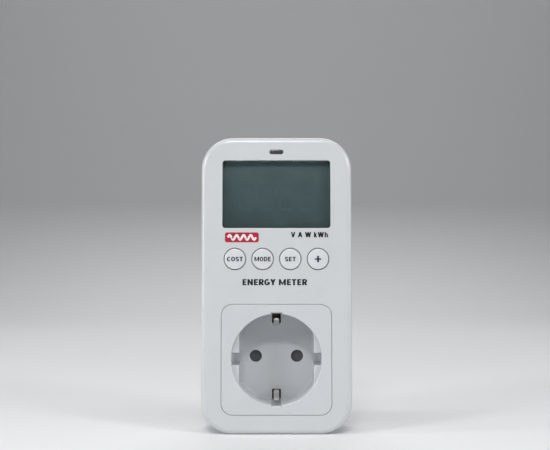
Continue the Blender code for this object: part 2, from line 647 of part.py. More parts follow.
def make_shutter():
    obj = rod("shutter_rotor", SHUTTER_RADIUS, (SHUTTER_FRONT_Y, SHUTTER_BACK_Y), sides=40)
    through = (SHUTTER_FRONT_Y - OVERLAP, SHUTTER_BACK_Y + OVERLAP)
    cut(obj, rod("pivot_hole", PIVOT_RADIUS + GAP, through, sides=20, helper=True))
    for i, angle in enumerate((SHUTTER_TURN, SHUTTER_TURN + math.pi), 1):
        place = (PIN_X * math.cos(angle), PIN_X * math.sin(angle))
        cut(obj, rod(f"shutter_port_{i}", PIN_HOLE_RADIUS + 0.15 * MM, through, place, helper=True))
    paint(obj, (0.16, 0.17, 0.18), 0.5)


def make_shutter_spring():
    """A torsion coil in a pocket of the carrier, with one leg on the rotor's back."""
    turns, per_turn, coil_radius = 3, 12, 1.5 * MM
    x, z = 5.5 * MM, -9.0 * MM
    y_back, y_front = -25.3 * MM, -27.9 * MM
    coil = []
    for i in range(turns * per_turn + 1):
        t = i / (turns * per_turn)
        angle = 2 * math.pi * turns * t
        coil.append((x + coil_radius * math.cos(angle), y_back + (y_front - y_back) * t,
                     z + coil_radius * math.sin(angle)))
    leg = [(x + coil_radius, -28.3 * MM, z + 0.6 * MM), (4.6 * MM, -28.3 * MM, -4.0 * MM)]
    obj = wire("shutter_spring", coil + leg, 0.22 * MM, 1)
    paint(obj, STEEL, 0.3, 1.0)


def make_carrier():
    obj = rod("contact_carrier", CARRIER_RADIUS, (CARRIER_FRONT_Y, CARRIER_BACK_Y), sides=44)
    through = (CARRIER_FRONT_Y - OVERLAP, CARRIER_BACK_Y + OVERLAP)
    for side, sign in (("left", -1.0), ("right", 1.0)):
        cut(obj, rod(f"contact_hole_{side}", CONTACT_RADIUS + GAP, through, (sign * PIN_X, 0.0),
                     helper=True))
    cut(obj, box("strap_groove", (-1.65 * MM, 1.65 * MM), (CARRIER_FRONT_Y - OVERLAP, -26.6 * MM),
                 (-17.5 * MM, 17.5 * MM), helper=True))
    cut(obj, rod("spring_pocket", 2.3 * MM, (CARRIER_FRONT_Y - OVERLAP, -24.8 * MM), (5.5 * MM, -9.0 * MM),
                 sides=16, helper=True))
    cut(obj, rod("link_hole", 1.8 * MM, through, sides=16, helper=True))
    for i, place in enumerate(millimetres(CARRIER_SCREWS), 1):
        cut(obj, rod(f"carrier_hole_{i}", 1.3 * MM, through, place, sides=12, helper=True))
        cut(obj, rod(f"carrier_well_{i}", 2.1 * MM, (CARRIER_BACK_Y - 1.5 * MM, CARRIER_BACK_Y + OVERLAP),
                     place, sides=12, helper=True))
    paint(obj, (0.55, 0.53, 0.48), 0.6)


def make_contact(side, sign):
    """A split spring sleeve that grips a plug pin, with a flat tab up to the power board."""
    x = sign * PIN_X
    obj = rod(f"{side}_contact", CONTACT_RADIUS, (CONTACT_FRONT_Y, CONTACT_BACK_Y), (x, 0.0), sides=24)
    join(obj, box(f"{side}_tab", (x - 2.0 * MM, x + 2.0 * MM), (TAB_FRONT_Y, TAB_BACK_Y),
                  (1.0 * MM, TAB_TOP_Z), helper=True))
    cut(obj, rod(f"{side}_bore", CONTACT_BORE, (CONTACT_FRONT_Y - OVERLAP, CONTACT_BACK_Y - 1.0 * MM),
                 (x, 0.0), helper=True))
    cut(obj, box(f"{side}_split", (x - 0.4 * MM, x + 0.4 * MM),
                 (CONTACT_FRONT_Y - OVERLAP, CONTACT_BACK_Y - 3.0 * MM), (-4.0 * MM, -1.0 * MM),
                 helper=True))
    paint(obj, BRASS, 0.3, 1.0)


def mirrored(half):
    return half + [(y, -z) for y, z in reversed(half)]


def make_socket_earth_strap():
    """One strip bent to a U: its two sprung tongues stand in the well's earth channels."""
    half = [(-47.7, 17.9), (-46.6, 17.3), (-44.2, 16.2), (-41.6, 15.2), (-40.0, 14.95), (-38.5, 15.1),
            (-36.2, 15.9), (-33.8, 16.6), (-32.0, 16.8), (-27.2, 16.8)]
    obj = strip("socket_earth_strap", mirrored(millimetres(half)), 2.7 * MM, 0.6 * MM)
    paint(obj, NICKEL, 0.25, 1.0)


# ---------------------------------------------------------------- plug

def make_plug_base():
    obj = rod("plug_base", PLUG_RADIUS, (PLUG_FLANGE_FRONT_Y + 0.1 * MM, 0.0), sides=44,
              end_bevel=1.0 * MM)
    join(obj, rod("plug_flange", PLUG_FLANGE_RADIUS, (PLUG_FLANGE_FRONT_Y, PLUG_FLANGE_BACK_Y), sides=44,
                  helper=True))
    for side, sign in (("left", -1.0), ("right", 1.0)):
        for level, up in (("low", -1.0), ("high", 1.0)):
            x_span = sorted((sign * PLUG_FLAT_X, sign * (PLUG_RADIUS + OVERLAP)))
            z_span = sorted((up * PLUG_RIB_HALF, up * (PLUG_RADIUS + OVERLAP)))
            cut(obj, box(f"plug_flat_{side}_{level}", x_span, (REAR_Y + 0.4 * MM, OVERLAP), z_span,
                         helper=True))
        cut(obj, rod(f"plug_pin_hole_{side}", PIN_RADIUS + GAP, (-PLUG_FACE_THICKNESS - OVERLAP, OVERLAP),
                     (sign * PIN_X, 0.0), helper=True))
        wire_x = sorted((sign * 3.3 * MM, sign * 5.9 * MM))
        cut(obj, box(f"wire_notch_{side}", wire_x, (PLUG_FLANGE_FRONT_Y - OVERLAP, -19.9 * MM),
                     (10.0 * MM, 23.0 * MM), helper=True))
    cut(obj, rod("plug_pocket", PLUG_POCKET_RADIUS, (PLUG_FLANGE_FRONT_Y - OVERLAP, -PLUG_FACE_THICKNESS),
                 sides=40, helper=True))
    far = PLUG_FLANGE_RADIUS + OVERLAP
    for level, z_span in (("top", (EARTH_GROOVE_FLOOR, far)), ("bottom", (-far, -EARTH_GROOVE_FLOOR))):
        cut(obj, box(f"earth_groove_{level}", (-EARTH_GROOVE_HALF, EARTH_GROOVE_HALF),
                     (PLUG_FLANGE_FRONT_Y - OVERLAP, -1.4 * MM), z_span, helper=True))
    paint(obj, WHITE, 0.5)


def make_pin(side, sign):
    tip = 1.6 * MM
    profile = [(0.0, PIN_LENGTH)]
    profile += [(PIN_RADIUS - tip + tip * math.sin(a), PIN_LENGTH - tip + tip * math.cos(a))
                for a in (math.pi / 2 * i / 5 for i in range(1, 6))]
    profile += [(PIN_RADIUS, -3.3 * MM), (3.2 * MM, -3.3 * MM), (3.2 * MM, -5.0 * MM),
                (PIN_RADIUS, -5.0 * MM), (PIN_RADIUS, CONTACT_BACK_Y + GAP), (0.0, CONTACT_BACK_Y + GAP)]
    obj = turned(f"{side}_pin", profile, (sign * PIN_X, 0.0), steps=20)
    paint(obj, NICKEL, 0.2, 1.0)


def make_plug_earth_strap():
    """One strip bent to a U: its bowed legs lie in the grooves at the plug's top and bottom."""
    half = [(-2.4, 17.0), (-4.5, 17.7), (-7.5, 18.1), (-11.0, 18.1), (-14.0, 17.8), (-17.0, 17.2),
            (-22.8, 17.2)]
    obj = strip("plug_earth_strap", mirrored(millimetres(half)), 4.6 * MM, 0.8 * MM)
    paint(obj, NICKEL, 0.25, 1.0)


def make_earth_link():
    obj = rod("earth_link", 1.5 * MM, (-26.6 * MM, TAB_FRONT_Y - GAP), sides=16)
    paint(obj, BRASS, 0.3, 1.0)


def make_plug_wire(name, sign, colour):
    """A lead from a pin's inner end, through the flange notch, to the back of the power board."""
    x = sign * 4.6 * MM
    run_y = REAR_INNER_Y - 1.2 * MM
    corners = [(x, -6.5 * MM, 0.0), (x, run_y, 0.0), (x, run_y, 31.0 * MM)]
    obj = wire(name, smooth_path(corners, 2.0 * MM), 0.85 * MM)
    paint(obj, colour, 0.5)


# ---------------------------------------------------------------- power board

def legged_chip(name, size, centre, legs, colour):
    """A chip with gull legs down both long sides, all joined to its body."""
    width, height, depth = size
    body = (POWER_PART_Y - 0.1 * MM - depth, POWER_PART_Y - 0.1 * MM)
    obj = prism(name, (width, height), centre, body, fillet=0.3 * MM)
    reach = width / 2 + 1.2 * MM
    for i in range(legs):
        z = centre[1] - height / 2 + height * (i + 0.5) / legs
        join(obj, box(f"{name}_leg_{i}", (centre[0] - reach, centre[0] + reach),
                      (body[1] - 0.5 * MM, POWER_PART_Y), (z - 0.25 * MM, z + 0.25 * MM), helper=True))
    paint(obj, colour, 0.5)


def make_power_board():
    board = box("power_board", (-28.5 * MM, 28.5 * MM), (POWER_BOARD_FRONT_Y, POWER_BOARD_BACK_Y),
                (POWER_BOARD_BOTTOM_Z, POWER_BOARD_TOP_Z))
    span = (POWER_BOARD_FRONT_Y - OVERLAP, POWER_BOARD_BACK_Y + OVERLAP)
    for i, place in enumerate(millimetres(POWER_SCREWS), 1):
        cut(board, rod(f"power_board_hole_{i}", 1.3 * MM, span, place, sides=12, helper=True))
    paint(board, BOARD_GREEN, 0.4)


def make_power_parts():
    front = POWER_PART_Y
    legged_chip("metering_chip", (6.0 * MM, 10.0 * MM, 1.8 * MM), (-4.0 * MM, 60.0 * MM), 6, CHIP_BLACK)
    shunt = [(-22.0 * MM, front, 32.0 * MM), (-22.0 * MM, front - 6.0 * MM, 32.0 * MM),
             (-12.0 * MM, front - 6.0 * MM, 32.0 * MM), (-12.0 * MM, front, 32.0 * MM)]
    paint(wire("shunt_resistor", smooth_path(shunt, 2.0 * MM), 0.8 * MM), (0.45, 0.36, 0.28), 0.4, 1.0)
    dropper = prism("dropper_capacitor", (18.0 * MM, 8.0 * MM), (12.0 * MM, 33.0 * MM),
                    (front - 14.0 * MM, front), corner=0.8 * MM, corner_steps=2, fillet=0.6 * MM)
    paint(dropper, (0.75, 0.60, 0.10), 0.4)
    paint(rod("smoothing_capacitor", 4.0 * MM, (front - 11.0 * MM, front), (-18.0 * MM, 47.0 * MM),
              sides=24), (0.05, 0.06, 0.12), 0.35)
    varistor = prism("varistor", (9.0 * MM, 4.0 * MM), (-4.0 * MM, 36.0 * MM), (front - 9.0 * MM, front),
                     corner=1.6 * MM, corner_steps=3, fillet=1.2 * MM)
    paint(varistor, (0.05, 0.16, 0.40), 0.4)
    fuse = wire("fuse", [(8.0 * MM, front - 2.9 * MM, 45.0 * MM), (26.0 * MM, front - 2.9 * MM, 45.0 * MM)],
                2.6 * MM, 4)
    paint(fuse, (0.70, 0.68, 0.62), 0.3)
    battery = wire("backup_battery", [(14.0 * MM, front - 6.1 * MM, 64.0 * MM),
                                      (14.0 * MM, front - 6.1 * MM, 79.0 * MM)], 5.8 * MM, 5)
    paint(battery, (0.06, 0.30, 0.16), 0.4)


def make_ribbon_cable():
    """A flat cable in a loose S between the two boards."""
    y_front, y_back = DISPLAY_BOARD_BACK_Y + GAP, POWER_PART_Y
    steps = 12
    path = []
    for i in range(steps + 1):
        t = i / steps
        path.append((y_front + (y_back - y_front) * t, (80.5 + 3.0 * math.sin(2 * math.pi * t)) * MM))
    obj = strip("ribbon_cable", path, 10.0 * MM, 0.7 * MM)
    obj.location.x = -14.0 * MM
    paint(obj, (0.50, 0.52, 0.54), 0.6)


# ---------------------------------------------------------------- assembly

make_front_shell()
make_rear_shell()
make_rating_plate()
make_screws()
make_display_window()
make_indicator()
make_lcd()
make_display_board()
for button_name, button_place in zip(BUTTONS, button_places()):
    make_button(button_name, button_place)
make_socket_insert()
make_shutter()
make_shutter_spring()
make_carrier()
make_contact("live", -1.0)
make_contact("neutral", 1.0)
make_socket_earth_strap()
make_plug_base()
make_pin("live", -1.0)
make_pin("neutral", 1.0)
make_plug_earth_strap()
make_earth_link()
make_plug_wire("live_wire", -1.0, (0.30, 0.12, 0.04))
make_plug_wire("neutral_wire", 1.0, (0.03, 0.12, 0.50))
make_power_board()
make_power_parts()
make_ribbon_cable()
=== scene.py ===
"""Looks of the plug-in power meter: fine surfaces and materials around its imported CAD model.

Everything is in metres in the CAD frame: the origin is the centre of the plug's pin face, +Y points
into the wall, +X is to the right as seen from the front, and +Z is up.
"""

import math

import bpy
import bmesh
from mathutils import Matrix, Vector


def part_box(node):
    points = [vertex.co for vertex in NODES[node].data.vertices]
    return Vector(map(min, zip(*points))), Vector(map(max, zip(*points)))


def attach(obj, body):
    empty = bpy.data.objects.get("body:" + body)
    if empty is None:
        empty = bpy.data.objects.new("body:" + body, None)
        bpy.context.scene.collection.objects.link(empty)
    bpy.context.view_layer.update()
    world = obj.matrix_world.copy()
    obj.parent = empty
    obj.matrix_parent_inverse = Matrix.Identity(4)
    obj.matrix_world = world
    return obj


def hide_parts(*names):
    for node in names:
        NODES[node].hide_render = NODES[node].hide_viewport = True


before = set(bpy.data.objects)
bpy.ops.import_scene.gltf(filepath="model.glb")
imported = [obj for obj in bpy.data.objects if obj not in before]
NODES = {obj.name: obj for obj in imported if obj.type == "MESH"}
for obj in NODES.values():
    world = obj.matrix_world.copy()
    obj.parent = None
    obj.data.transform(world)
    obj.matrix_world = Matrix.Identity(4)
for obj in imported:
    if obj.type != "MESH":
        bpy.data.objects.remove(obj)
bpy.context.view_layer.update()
MM = 0.001

# -------- places, read from the frame

SHELL_LOW, SHELL_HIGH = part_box("front_shell")
GLASS_LOW, GLASS_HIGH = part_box("lcd_glass")
LENS_LOW, LENS_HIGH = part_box("indicator_lens")
PLUG_LOW, PLUG_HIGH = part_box("plug_base")
PLATE_LOW, PLATE_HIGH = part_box("rating_plate")

CASE_WIDTH = SHELL_HIGH.x - SHELL_LOW.x
CASE_HEIGHT = SHELL_HIGH.z - SHELL_LOW.z
CASE_Z = (SHELL_HIGH.z + SHELL_LOW.z) / 2
CASE_CORNER = 14.2 * MM
FRONT_Y = SHELL_LOW.y
PARTING_FRONT_Y = SHELL_HIGH.y
REAR_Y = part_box("rear_shell")[1].y
PARTING_REAR_Y = PARTING_FRONT_Y + 0.3 * MM
FRONT_WALL = 2.0 * MM
REAR_WALL = 3.1 * MM
EDGE_FILLET = 2.4 * MM
GAP = 0.3 * MM  # clearance between the CAD solids
PLAY = 0.3 * MM  # how much smaller the pane and the light guide are than their openings
SEAM = 0.16 * MM  # clearance between the fine surfaces of the case and the insert

WINDOW_WIDTH = 48.0 * MM
WINDOW_HEIGHT = 30.1 * MM
WINDOW_Z = (GLASS_LOW.z + GLASS_HIGH.z) / 2
WINDOW_CORNER = 1.3 * MM
LENS_Z = (LENS_LOW.z + LENS_HIGH.z) / 2
SLOT_WIDTH = 6.2 * MM
SLOT_HEIGHT = 2.0 * MM

BUTTONS = ["cost", "mode", "set", "plus"]
BUTTON_RADIUS = 4.6 * MM
BUTTON_CLEARANCE = 0.34 * MM

INSERT_WIDTH = 48.6 * MM
INSERT_HEIGHT = 48.4 * MM
INSERT_CORNER = 5.0 * MM
INSERT_BACK_Y = -48.3 * MM
WELL_RADIUS = 19.9 * MM
WELL_FLAT_X = 16.6 * MM
WELL_NOTCH_HALF = 2.7 * MM
WELL_RIM_Y = FRONT_Y + 1.8 * MM
CHANNEL_HALF = 2.15 * MM
CHANNEL_REACH = 20.3 * MM
FLOOR_Y = FRONT_Y + 17.5 * MM
FLOOR_BACK_Y = FLOOR_Y + 2.0 * MM
CUP_RADIUS = 21.9 * MM
CUP_BACK_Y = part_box("socket_insert")[1].y
PIN_X = 9.5 * MM
PIN_HOLE_RADIUS = 2.75 * MM
SHUTTER_TURN = math.radians(38.0)

PLATE_WIDTH = PLATE_HIGH.x - PLATE_LOW.x
PLATE_HEIGHT = PLATE_HIGH.z - PLATE_LOW.z
PLATE_Z = (PLATE_HIGH.z + PLATE_LOW.z) / 2


# -------- mesh tools

def link(name, mesh):
    obj = bpy.data.objects.new(name, mesh)
    bpy.context.scene.collection.objects.link(obj)
    return obj


def from_bmesh(name, bm):
    bmesh.ops.recalc_face_normals(bm, faces=bm.faces)
    mesh = bpy.data.meshes.new(name)
    bm.to_mesh(mesh)
    bm.free()
    return link(name, mesh)


def arc(radius, start, end, steps, centre=(0.0, 0.0), radius_z=None):
    """Points (x, z) round part of a circle or an ellipse, from start to end degrees."""
    points = []
    for i in range(steps + 1):
        angle = math.radians(start + (end - start) * i / steps)
        points.append((centre[0] + radius * math.cos(angle),
                       centre[1] + (radius_z or radius) * math.sin(angle)))
    return points


def rounded_rect(width, height, radius, steps, centre=(0.0, 0.0)):
    """Points (x, z) round a rectangle with round corners, counter-clockwise from the right side."""
    points = []
    for sx, sz, start in ((1, -1, -90), (1, 1, 0), (-1, 1, 90), (-1, -1, 180)):
        corner = (centre[0] + sx * (width / 2 - radius), centre[1] + sz * (height / 2 - radius))
        points += arc(radius, start, start + 90.0, steps, corner)
    return points


def circle(radius, steps, centre=(0.0, 0.0)):
    return arc(radius, 0.0, 360.0, steps, centre)[:-1]


def at_y(points, y):
    return [(x, y, z) for x, z in points]


def mm(*lengths):
    """Lengths in millimetres, turned into metres."""
    return tuple(length * MM for length in lengths)


def rectangle(x_span, z_span):
    (left, right), (low, high) = x_span, z_span
    return [(left, low), (right, low), (right, high), (left, high)]


def rounded_rings(width, height, radius, levels, steps=8, centre=(0.0, 0.0), tighten=False):
    """Rounded rectangles at (inset, y) levels. tighten takes the inset off the corner radius too."""
    rings = []
    for inset, y in levels:
        corner = radius - inset if tighten else radius
        rings.append(at_y(rounded_rect(width - 2 * inset, height - 2 * inset, corner, steps, centre), y))
    return rings


def loft(name, rings, closed=False):
    """A skin through rings of equally many 3D points. Its ends are capped, unless it closes on itself."""
    bm = bmesh.new()
    rows = [[bm.verts.new(p) for p in ring] for ring in rings]
    pairs = list(zip(rows, rows[1:]))
    if closed:
        pairs.append((rows[-1], rows[0]))
    count = len(rows[0])
    for low, high in pairs:
        for i in range(count):
            j = (i + 1) % count
            bm.faces.new((low[i], low[j], high[j], high[i]))
    if not closed:
        bm.faces.new(rows[0])
        bm.faces.new(rows[-1])
    return from_bmesh(name, bm)


def prism(name, points, y_span):
    """A flat outline of (x, z) points, made thick along Y."""
    return loft(name, [at_y(points, y) for y in y_span])


def turned(name, profile, centre=(0.0, 0.0), steps=72):
    """A solid of revolution about a Y axis through centre (x, z). profile lists (radius, y)."""
    bm = bmesh.new()
    rows = []
    for radius, y in profile:
        if radius == 0.0:
            rows.append([bm.verts.new((centre[0], y, centre[1]))])
        else:
            rows.append([bm.verts.new(p) for p in at_y(circle(radius, steps, centre), y)])
    for low, high in zip(rows, rows[1:]):
        for i in range(steps):
            j = (i + 1) % steps
            corners = [low[i % len(low)], low[j % len(low)], high[j % len(high)], high[i % len(high)]]
            unique = list(dict.fromkeys(corners))
            if len(unique) > 2:
                bm.faces.new(unique)
    return from_bmesh(name, bm)


def fillet_arc(radius, steps, end=90.0):
    """(inset, rise) pairs round a quarter turn: from the wall, inset 0, to the face, rise radius."""
    return [(radius - x, rise) for x, rise in arc(radius, 0.0, end, steps)]


def flared_cutter(name, outline, y_face, depth, flare, outward=-1.0):
    """A cutter that opens a hole with a rounded mouth in the face at y_face.

    outline(grow) gives the hole's (x, z) points, grown by that much. outward is the side, along Y,
    from which the hole is cut. The mouth's arc ends in a cone, which never lies flat against the face.
    """
    mouth_angle, beyond = 72.0, 0.5 * MM
    rings = [at_y(outline(0.0), y_face - outward * depth)]
    for inset, rise in fillet_arc(flare, 5, mouth_angle):
        rings.append(at_y(outline(inset), y_face - outward * (flare - rise)))
    slope = math.tan(math.radians(mouth_angle))
    rings.append(at_y(outline(inset + (flare - rise + beyond) * slope), y_face + outward * beyond))
    return loft(name, rings)


def rect_outline(width, height, radius, centre=(0.0, 0.0), steps=8):
    return lambda grow: rounded_rect(width + 2 * grow, height + 2 * grow, radius + grow, steps, centre)


def round_outline(radius, centre=(0.0, 0.0), steps=64):
    return lambda grow: circle(radius + grow, steps, centre)


def block(name, x_span, y_span, z_span):
    return prism(name, rectangle(x_span, z_span), y_span)


def rod(name, radius, y_span, centre=(0.0, 0.0), steps=48):
    return prism(name, circle(radius, steps, centre), y_span)


def boolean(obj, operation, tools, overlapping=False):
    """Applies the tools to obj one after another, and removes them.

    overlapping also clears up bodies that overlap in obj itself.
    """
    for tool in tools:
        modifier = obj.modifiers.new("boolean", "BOOLEAN")
        modifier.operation = operation
        modifier.solver = "EXACT"
        modifier.use_self = overlapping
        modifier.object = tool
        apply_modifiers(obj)
        bpy.data.objects.remove(tool, do_unlink=True)
    return obj


def merge(name, objects):
    """Joins separate meshes into one piece."""
    bm = bmesh.new()
    for obj in objects:
        bm.from_mesh(obj.data)
        bpy.data.objects.remove(obj, do_unlink=True)
    return from_bmesh(name, bm)


def apply_modifiers(obj):
    bpy.context.view_layer.update()
    depsgraph = bpy.context.evaluated_depsgraph_get()
    mesh = bpy.data.meshes.new_from_object(obj.evaluated_get(depsgraph))
    obj.modifiers.clear()
    old = obj.data
    obj.data = mesh
    bpy.data.meshes.remove(old)


def bevel(obj, width, angle=35.0):
    modifier = obj.modifiers.new("bevel", "BEVEL")
    modifier.width = width
    modifier.segments = 2
    modifier.limit_method = "ANGLE"
    modifier.angle_limit = math.radians(angle)


def smooth(obj, angle=32.0):
    """Shades obj smooth, with sharp edges past the angle, and lets its large faces set the normals."""
    obj.data.shade_smooth()
    obj.data.set_sharp_from_angle(angle=math.radians(angle))
    modifier = obj.modifiers.new("normals", "WEIGHTED_NORMAL")
    modifier.keep_sharp = True
    modifier.weight = 100
    return obj


# -------- materials

NOISE_LOW, NOISE_HIGH = 0.3, 0.7  # the range that most of a noise lies in


def feed(node, inputs):
    """Sets a node's inputs, by name or number, to constants, or links them from other nodes."""
    for key, value in inputs.items():
        if isinstance(value, bpy.types.NodeSocket):
            node.id_data.links.new(value, node.inputs[key])
        else:
            node.inputs[key].default_value = value


def add_node(material, kind, inputs=None):
    node = material.node_tree.nodes.new("ShaderNode" + kind)
    feed(node, inputs or {})
    return node


def shade(material, inputs):
    """Feeds the material's surface shader."""
    feed(material.node_tree.nodes["Principled BSDF"], inputs)


def new_material(name, colour, roughness, metallic=0.0):
    material = bpy.data.materials.new(name)
    material.use_nodes = True
    shade(material, {"Base Color": (*colour, 1.0), "Roughness": roughness, "Metallic": metallic})
    return material


def own_space(material):
    """Coordinates in the piece's own space."""
    return add_node(material, "TexCoord").outputs["Object"]


def compute(material, operation, *values):
    """A maths node on constants and on the outputs of other nodes."""
    node = add_node(material, "Math")
    node.operation = operation
    feed(node, dict(enumerate(values)))
    return node.outputs["Value"]


def remap(material, value, low, high, from_low, from_high):
    spread = add_node(material, "MapRange", {"Value": value, "From Min": from_low, "From Max": from_high,
                                             "To Min": low, "To Max": high})
    return spread.outputs["Result"]


def noise(material, scale, detail=3.0, roughness=0.55, stretch=(1.0, 1.0, 1.0)):
    """A noise texture in object space. scale is the number of features in a metre."""
    mapping = add_node(material, "Mapping", {"Vector": own_space(material), "Scale": stretch})
    texture = add_node(material, "TexNoise", {"Vector": mapping.outputs["Vector"], "Scale": scale,
                                              "Detail": detail, "Roughness": roughness})
    return texture.outputs["Fac"]


def tint(material, value, colours):
    """Drives the base colour from a noise value through evenly spaced colours."""
    ramp = add_node(material, "ValToRGB", {"Fac": value})
    elements = ramp.color_ramp.elements
    elements[0].position, elements[1].position = NOISE_LOW, NOISE_HIGH
    elements[0].color = (*colours[0], 1.0)
    elements[1].color = (*colours[-1], 1.0)
    for i, colour in enumerate(colours[1:-1], 1):
        element = elements.new(NOISE_LOW + (NOISE_HIGH - NOISE_LOW) * i / (len(colours) - 1))
        element.color = (*colour, 1.0)
    shade(material, {"Base Color": ramp.outputs["Color"]})


def vary_roughness(material, value, low, high):
    shade(material, {"Roughness": remap(material, value, low, high, NOISE_LOW, NOISE_HIGH)})


def bump(material, value, distance, strength=0.5):
    node = add_node(material, "Bump", {"Height": value, "Distance": distance, "Strength": strength})
    shade(material, {"Normal": node.outputs["Normal"]})


def shade_of(colour, factor):
    return tuple(min(1.0, c * factor) for c in colour)


def moulded_plastic(name, colour, roughness, grain=5200.0, depth=0.012, coat=0.0):
    """Injection-moulded plastic: a fine spark-eroded grain, faint flow shading and uneven gloss.

    depth is that of the grain, in millimetres.
    """
    material = new_material(name, colour, roughness)
    tint(material, noise(material, 70.0, 4.0), [shade_of(colour, 0.98), colour, shade_of(colour, 1.02)])
    grit = noise(material, grain, 2.0, 0.6)
    vary_roughness(material, grit, roughness - 0.05, roughness + 0.06)
    bump(material, grit, depth * MM)
    shade(material, {"IOR": 1.53, "Coat Weight": coat, "Coat Roughness": 0.12})
    return material


def plated_metal(name, colour, roughness, brushed=(1.0, 1.0, 1.0)):
    """Rolled or plated metal with fine streaks along one direction and a slight tarnish."""
    material = new_material(name, colour, roughness, 1.0)
    tarnish = noise(material, 260.0, 5.0)
    tint(material, tarnish, [shade_of(colour, 0.86), colour, shade_of(colour, 1.06)])
    streaks = noise(material, 2600.0, 3.0, 0.6, brushed)
    vary_roughness(material, streaks, roughness - 0.07, roughness + 0.1)
    bump(material, streaks, 0.004 * MM, 0.35)
    return material


def printed_ink(name, colour, roughness=0.45, specular=0.5):
    """Pad-printed ink: nearly even, with a faint speckle where the film is thinner."""
    material = new_material(name, colour, roughness)
    speckle = noise(material, 3200.0, 4.0, 0.7)
    tint(material, speckle, [colour, shade_of(colour, 1.25)])
    shade(material, {"Specular IOR Level": specular})
    bump(material, speckle, 0.004 * MM, 0.4)
    return material


WHITE = (0.545, 0.563, 0.575)
INSERT_WHITE = (0.538, 0.558, 0.578)
CAP_WHITE = (0.590, 0.608, 0.628)
INK = (0.009, 0.011, 0.020)
RED = (0.34, 0.010, 0.035)


def liquid_crystal():
    """An unlit reflective display: a grey-green film, cloudy, with painted light that makes it a little
    paler towards its top.
    """
    dark, middle, pale = (0.046, 0.069, 0.073), (0.064, 0.093, 0.097), (0.086, 0.120, 0.121)
    material = new_material("lcd_film", middle, 0.42)
    cloud = noise(material, 90.0, 5.0, 0.6)
    height = add_node(material, "SeparateXYZ", {"Vector": own_space(material)}).outputs["Z"]
    # Painted light: the film's tone is raised towards the window's top and lowered towards its bottom.
    painted_top_light = remap(material, height, -0.20, 0.20, WINDOW_Z - WINDOW_HEIGHT / 2, WINDOW_Z + WINDOW_HEIGHT / 2)
    painted_light_level = compute(material, "ADD", painted_top_light, 0.25)
    tint(material, compute(material, "MULTIPLY_ADD", cloud, 0.5, painted_light_level), [dark, middle, pale])
    bump(material, noise(material, 7000.0, 2.0), 0.003 * MM, 0.3)
    shade(material, {"Coat Weight": 0.35, "Coat Roughness": 0.08})
    return material


def clear_acrylic():
    """A clear window: it mirrors a little more as it is seen more edge-on, and passes the rest."""
    material = bpy.data.materials.new("clear_acrylic")
    material.use_nodes = True
    nodes = material.node_tree.nodes
    nodes.remove(nodes["Principled BSDF"])
    facing = add_node(material, "LayerWeight", {"Blend": 0.5}).outputs["Facing"]
    mirror = compute(material, "MULTIPLY_ADD", compute(material, "POWER", facing, 5.0), 0.96, 0.035)
    clear = add_node(material, "BsdfTransparent", {"Color": (0.93, 0.965, 0.965, 1.0)})
    haze = remap(material, noise(material, 2600.0, 4.0, 0.7), 0.04, 0.10, 0.4, 0.8)
    gloss = add_node(material, "BsdfGlossy", {"Roughness": haze})
    mix = add_node(material, "MixShader", {"Fac": mirror, 1: clear.outputs["BSDF"],
                                           2: gloss.outputs["BSDF"]})
    feed(nodes["Material Output"], {"Surface": mix.outputs["Shader"]})
    return material


def circuit_board():
    """Green solder mask over copper: broad pours and fine tracks show as lighter, raised shapes."""
    material = new_material("circuit_board", (0.015, 0.11, 0.05), 0.35)
    turned_flat = add_node(material, "Mapping", {"Vector": own_space(material),
                                                 "Rotation": (math.pi / 2, 0.0, 0.0)})
    tracks = add_node(material, "TexBrick", {
        "Vector": turned_flat.outputs["Vector"], "Scale": 260.0, "Mortar Size": 0.035,
        "Color1": (0.012, 0.09, 0.042, 1.0), "Color2": (0.018, 0.125, 0.058, 1.0),
        "Mortar": (0.035, 0.20, 0.09, 1.0)})
    shade(material, {"Base Color": tracks.outputs["Color"]})
    bump(material, tracks.outputs["Fac"], 0.03 * MM, 0.6)
    vary_roughness(material, noise(material, 1500.0, 3.0), 0.25, 0.42)
    return material


def banded(name, colours, scale, roughness):
    """Stripes across X, as on a flat cable or a layered rubber strip."""
    material = new_material(name, colours[0], roughness)
    wave = add_node(material, "TexWave", {"Vector": own_space(material), "Scale": scale, "Distortion": 0.0})
    wave.bands_direction = "X"
    tint(material, wave.outputs["Fac"], colours)
    bump(material, wave.outputs["Fac"], 0.05 * MM, 0.6)
    return material


CASE_PLASTIC = moulded_plastic("case_plastic", WHITE, 0.19)
INSERT_PLASTIC = moulded_plastic("insert_plastic", INSERT_WHITE, 0.28)
PLUG_PLASTIC = moulded_plastic("plug_plastic", shade_of(WHITE, 0.97), 0.42)
CAP_PLASTIC = moulded_plastic("cap_plastic", CAP_WHITE, 0.20, depth=0.004, coat=0.3)
SMOKED = moulded_plastic("smoked_lens", (0.045, 0.048, 0.052), 0.14, depth=0.002, coat=0.4)
LABEL_FILM = moulded_plastic("label_film", (0.33, 0.34, 0.35), 0.32, grain=8000.0, depth=0.003, coat=0.2)
LABEL_INK = printed_ink("label_ink", (0.08, 0.085, 0.09))
NICKEL = plated_metal("nickel_strip", (0.58, 0.58, 0.57), 0.42, (60.0, 2.0, 2.0))
PIN_NICKEL = plated_metal("nickel_pin", (0.70, 0.69, 0.66), 0.18, (3.0, 120.0, 3.0))
ZINC = plated_metal("zinc_screw", (0.60, 0.61, 0.63), 0.32, (3.0, 3.0, 40.0))
BRASS = plated_metal("brass_sheet", (0.70, 0.50, 0.20), 0.28, (2.0, 60.0, 2.0))
LEGEND_INK = printed_ink("legend_ink", INK, specular=0.15)
PATCH_INK = printed_ink("patch_ink", RED, 0.35)
PALE_INK = printed_ink("pale_ink", (0.74, 0.66, 0.68), 0.4)
SHUTTER_PLASTIC = moulded_plastic("shutter_plastic", (0.066, 0.072, 0.078), 0.45)
